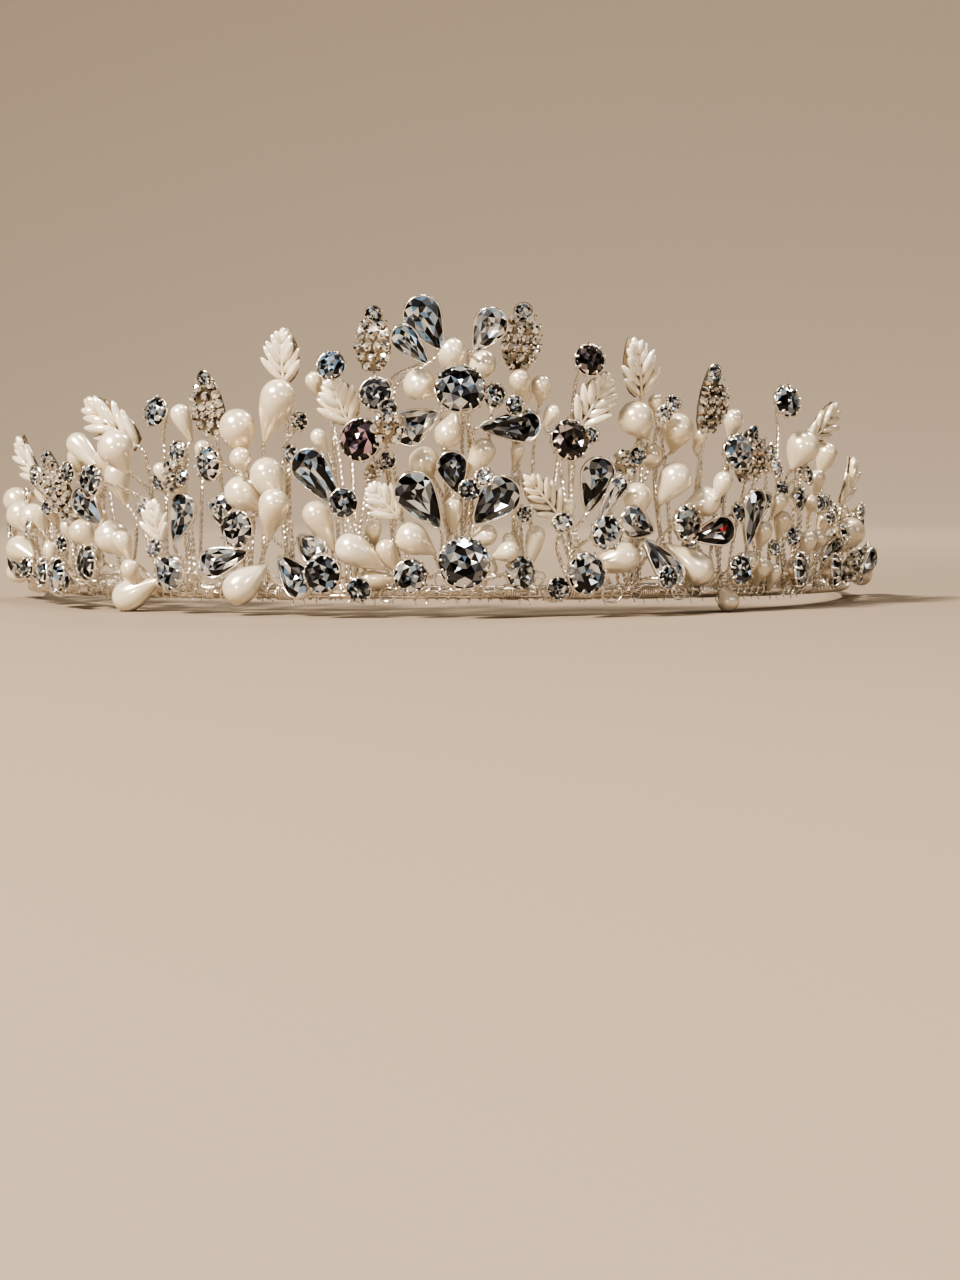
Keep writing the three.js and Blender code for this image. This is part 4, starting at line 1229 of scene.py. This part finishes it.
def leaf_parts(piece):
    """The grains on both sides, the grain at the tip and the midrib."""
    length, half = piece.length, piece.width / 2
    parts = []
    for k in range(grain_pairs):
        share = k / (grain_pairs - 1)
        far = grains_start + grains_span * share
        slant = low_grain_angle + (tip_grain_angle - low_grain_angle) * share
        grain_length = 0.3 * length
        # Halved steps toward the length at which the grain's tip meets the leaf's edge.
        for _ in range(12):
            tip_far = far + grain_length * math.cos(slant) / length
            edge = half * float(np.interp(tip_far, leaf_far, leaf_wide))
            grain_length = 0.5 * (grain_length + edge / math.sin(slant))
        for side in (-1, 1):
            root = np.array([side * 0.15, far * length, bow_at(far, length) - 0.05])
            heading = (side * math.sin(slant), math.cos(slant), grain_lift + grain_lift_change * (-1) ** k)
            parts.append(grain_part(root, heading, grain_length, grain_radius_share * piece.width))
    root = np.array([0, tip_grain_start * length, bow_at(tip_grain_start, length)])
    parts.append(grain_part(root, (0, 1, 0), tip_grain_length * length, tip_grain_radius * piece.width))
    spine_far = np.linspace(0, 0.84, 12)
    spine = np.c_[0 * spine_far, spine_far * length, bow_at(spine_far, length) + 0.12]
    parts.append(tube(spine, midrib_radius, 6))
    return [(set_in(piece, points), faces) for points, faces in parts]


def plate_part(piece, scale, top, bottom):
    """A thin plate under a leaf, which follows its outline and its bow."""
    fars = np.linspace(0.02, 0.97, plate_rows)
    wides = np.interp(fars, leaf_far, leaf_wide) * piece.width / 2 * scale
    bows = bow_at(fars, piece.length)
    rows = [[(-w, f * piece.length, b + bottom), (-w, f * piece.length, b + top),
             (w, f * piece.length, b + top), (w, f * piece.length, b + bottom)]
            for f, w, b in zip(fars, wides, bows)]
    last = 4 * (plate_rows - 1)
    faces = [(3, 2, 1, 0), tuple(last + k for k in range(4))]
    for low in range(0, last, 4):
        faces += [(low + k, low + (k + 1) % 4, low + 4 + (k + 1) % 4, low + 4 + k) for k in range(4)]
    return set_in(piece, np.array(rows).reshape(-1, 3)), faces


for piece in own_pieces("leaf"):
    make_piece(f"{piece.node}_grains", leaf_parts(piece), enamel, [piece.node])
    plate = plate_part(piece, scale=0.82, top=-0.2, bottom=-0.42)
    make_piece(f"{piece.node}_plate", [plate], leaf_gap_shade, [piece.node], smooth=False)
for spray_name, nodes, group in shared_pieces("leaf"):
    parts = [part for one in group for part in leaf_parts(one)]
    make_piece(f"small_leaves_{spray_name}", parts, enamel, nodes)

# The stone leaves
# Silver leaves paved with small rhinestones in close rows, each held by grains of silver raised between the
# stones. The stones' facets are painted light and dark as reflections, and the plate under them is dark as
# painted shade in the gaps.
pave_pitch = 1.32
pave_stone = 1.36
pave_rise = 0.52
tip_stone = 2.4
tip_stone_far = 0.9
tip_stone_rise = 0.75
tip_rim_radius = 0.14
pave_profile = [(0, -0.3), (0.5, -0.26), (0.5, 0.1), (0.27, 0.32), (0, 0.3)]
pave_tilt = 0.25
pave_jitter = 0.08
pave_grain = [(0, -0.28), (0.2, -0.2), (0.28, 0), (0.2, 0.2), (0, 0.28)]
# Painted reflections of the small stones, with their shares: white glints, light, mid grey, near black and
# warm facets.
pave_painted_tone_shares = (0.6, 0.12, 0.08, 0.12, 0.08)
pave_painted_tones = np.array([(0.97, 0.95, 0.91), (0.72, 0.66, 0.57), (0.32, 0.27, 0.22), (0.06, 0.05, 0.045),
                       (0.85, 0.74, 0.56)])
# The plate under the small stones is dark as painted shade in the gaps between them.
pave_gap_shade = plated_metal("pave_gap_shade", (0.5, 0.45, 0.37), (0.22, 0.18, 0.14), 0.2, 0.4)
pave_silver = plated_metal("pave_silver", (0.97, 0.93, 0.86), (0.78, 0.7, 0.58), 0.06, 0.16)


def pave_parts(piece):
    """The small stones of one leaf, and the silver grains between them."""
    random = np.random.default_rng(piece.seed)
    length, half = piece.length, piece.width / 2
    ball, ball_faces = lathe(pave_grain, 8)
    points, faces = lathe(pave_profile, 8)
    stones, beads = [], []
    rows = max(3, int(length / pave_pitch))
    for row in range(rows):
        far = (row + 0.55) / (rows + 0.1)
        wide = half * float(np.interp(far, leaf_far, leaf_wide)) - pave_stone / 2
        count = max(1, int(2 * wide / pave_pitch) + 1)
        for x in np.linspace(-wide, wide, count) if count > 1 else [0.0]:
            jitter = random.uniform(-pave_jitter, pave_jitter, 2)
            spot = np.array([x + jitter[0], far * length + jitter[1], bow_at(far, length) + pave_rise])
            tips = [Matrix.Rotation(random.uniform(-pave_tilt, pave_tilt), 3, line) for line in "XY"]
            turned = points * pave_stone @ np.array(tips[0] @ tips[1]).T
            painted_tones = pave_painted_tones[random.choice(5, len(faces), p=pave_painted_tone_shares)]
            stones.append((set_in(piece, spot + turned), faces, painted_tones))
            lift = spot + [pave_pitch / 2, pave_pitch / 2 * 0.9, 0.14]
            if abs(lift[0]) < wide + pave_stone / 2:
                beads.append((set_in(piece, lift + ball), ball_faces))
    return stones, beads


def tip_parts(piece):
    """The larger stone at a leaf's tip, and its rim."""
    width = tip_stone
    points, faces, painted_tones = cut_stone(round_outline, width, width, piece.seed, "clear")
    spot = np.array([0, tip_stone_far * piece.length, tip_stone_rise])
    ring = ring_at(round_outline, 0, 16, 1.06, np.zeros(2), 0, width, width)
    rim, rim_faces = tube(ring, tip_rim_radius, 5, closed=True)
    return (set_in(piece, spot + points), faces, painted_tones), (set_in(piece, spot + rim), rim_faces)


def pave_pieces(group, name, nodes):
    """Three meshes for a group of leaves: the stones, the silver that holds them and the plates, dark as
    painted shade between the stones.
    """
    stones, metal, plates = [], [], []
    for piece in group:
        some_stones, beads = pave_parts(piece)
        tip, rim = tip_parts(piece)
        stones += some_stones + [tip]
        metal += beads + [rim]
        plates.append(plate_part(piece, scale=0.93 if piece.own else 0.8, top=0.1, bottom=-0.3))
    make_piece(f"{name}_stones", stones, crystal, nodes, smooth=False)
    make_piece(f"{name}_silver", metal, pave_silver, nodes, smooth=False)
    make_piece(f"{name}_plate", plates, pave_gap_shade, nodes, smooth=False)


for piece in own_pieces("stone_leaf"):
    pave_pieces([piece], piece.node, [piece.node])
for spray_name, nodes, group in shared_pieces("stone_leaf"):
    pave_pieces(group, f"small_stone_leaves_{spray_name}", nodes)

# The stand and the light
# A pale warm floor that curves up into a wall all round. A key light from the upper left, a weak fill,
# lights from above, from behind and on the wall, and two small ones for the glints in the stones.
floor_radius = 0.8
wall_bend = 1.1
bends = np.linspace(0.04, math.pi / 2, 30)
floor_profile = [(0, 0), (floor_radius, 0)]
floor_profile += [(floor_radius + wall_bend * math.sin(a), wall_bend * (1 - math.cos(a))) for a in bends]
floor_points, floor_faces = lathe(floor_profile, 128)
floor_mesh = bpy.data.meshes.new("floor")
floor_mesh.from_pydata(floor_points.tolist(), [], floor_faces)
floor_mesh.polygons.foreach_set("use_smooth", [True] * len(floor_mesh.polygons))
floor = bpy.data.objects.new("floor", floor_mesh)
bpy.context.collection.objects.link(floor)
paper = bpy.data.materials.new("paper")
paper.use_nodes = True
paper_values = {"Base Color": (0.27, 0.224, 0.178, 1), "Roughness": 1.0, "Specular IOR Level": 0.0}
for socket, value in paper_values.items():
    paper.node_tree.nodes["Principled BSDF"].inputs[socket].default_value = value
floor_mesh.materials.append(paper)

world = bpy.data.worlds.new("studio")
world.use_nodes = True
world.node_tree.nodes["Background"].inputs["Color"].default_value = (1.0, 0.93, 0.84, 1)
world.node_tree.nodes["Background"].inputs["Strength"].default_value = 0.2
bpy.context.scene.world = world

# name, place, what it is aimed at, size, power, colour
studio_lights = [
    ("key", (-0.62, -0.6, 0.75), (0, -0.05, 0.02), 0.17, 28, (1.0, 0.91, 0.79)),
    ("fill", (0.75, -0.6, 0.3), (0, -0.05, 0.02), 0.4, 0.6, (1.0, 0.95, 0.9)),
    ("top", (0.1, -0.1, 0.9), (0, 0, 0), 0.3, 2.5, (1.0, 0.95, 0.88)),
    ("back", (0.55, 0.4, 0.8), (0, 0, 0.02), 0.15, 2.5, (1.0, 0.94, 0.86)),
    ("wall", (0.2, 0.3, 0.9), (0, 1.7, 0.5), 0.4, 19, (1.0, 0.94, 0.87)),
    ("glint_left", (-0.3, -0.75, 0.1), (0, -0.07, 0.02), 0.03, 0.7, (1.0, 1.0, 1.0)),
    ("glint_right", (0.25, -0.7, 0.3), (0, -0.07, 0.02), 0.03, 0.7, (1.0, 1.0, 1.0)),
]
for name, spot, target, size, power, colour in studio_lights:
    light = bpy.data.lights.new(name, "AREA")
    light.shape = "DISK"
    light.size = size
    light.energy = power
    light.color = colour
    lamp = bpy.data.objects.new(name, light)
    lamp.location = spot
    lamp.rotation_euler = (Vector(target) - Vector(spot)).to_track_quat("-Z", "Y").to_euler()
    bpy.context.collection.objects.link(lamp)
bpy.context.scene.view_settings.look = "AgX - High Contrast"

# The camera
# It stands low in front, a little to the left and just above the band, as near as the photograph was
# taken.
camera_azimuth = math.radians(-3.5)
camera_elevation = math.radians(2.5)
camera_distance = 0.346
# In the photograph's pixels: from its middle up and left to the band's front, the focal length that
# was fitted to it, and its height.
front_rise = 48
front_left = 14
photo_scale = 2400
photo_height = 1280
camera_data = bpy.data.cameras.new("camera")
camera_data.sensor_width = 36
camera_data.lens = camera_data.sensor_width * photo_scale / photo_height
camera_data.clip_start = 0.01
camera = bpy.data.objects.new("camera", camera_data)
bpy.context.collection.objects.link(camera)
band_front = Vector(standing(place(0, rail_height, 0))[0])
toward_camera = Vector((math.sin(camera_azimuth) * math.cos(camera_elevation),
                        -math.cos(camera_azimuth) * math.cos(camera_elevation), math.sin(camera_elevation)))
camera.location = band_front + toward_camera * camera_distance
aimed = band_front + camera_distance / photo_scale * Vector((front_left, 0, -front_rise))
camera.rotation_euler = (aimed - camera.location).to_track_quat("-Z", "Y").to_euler()
bpy.context.scene.camera = camera
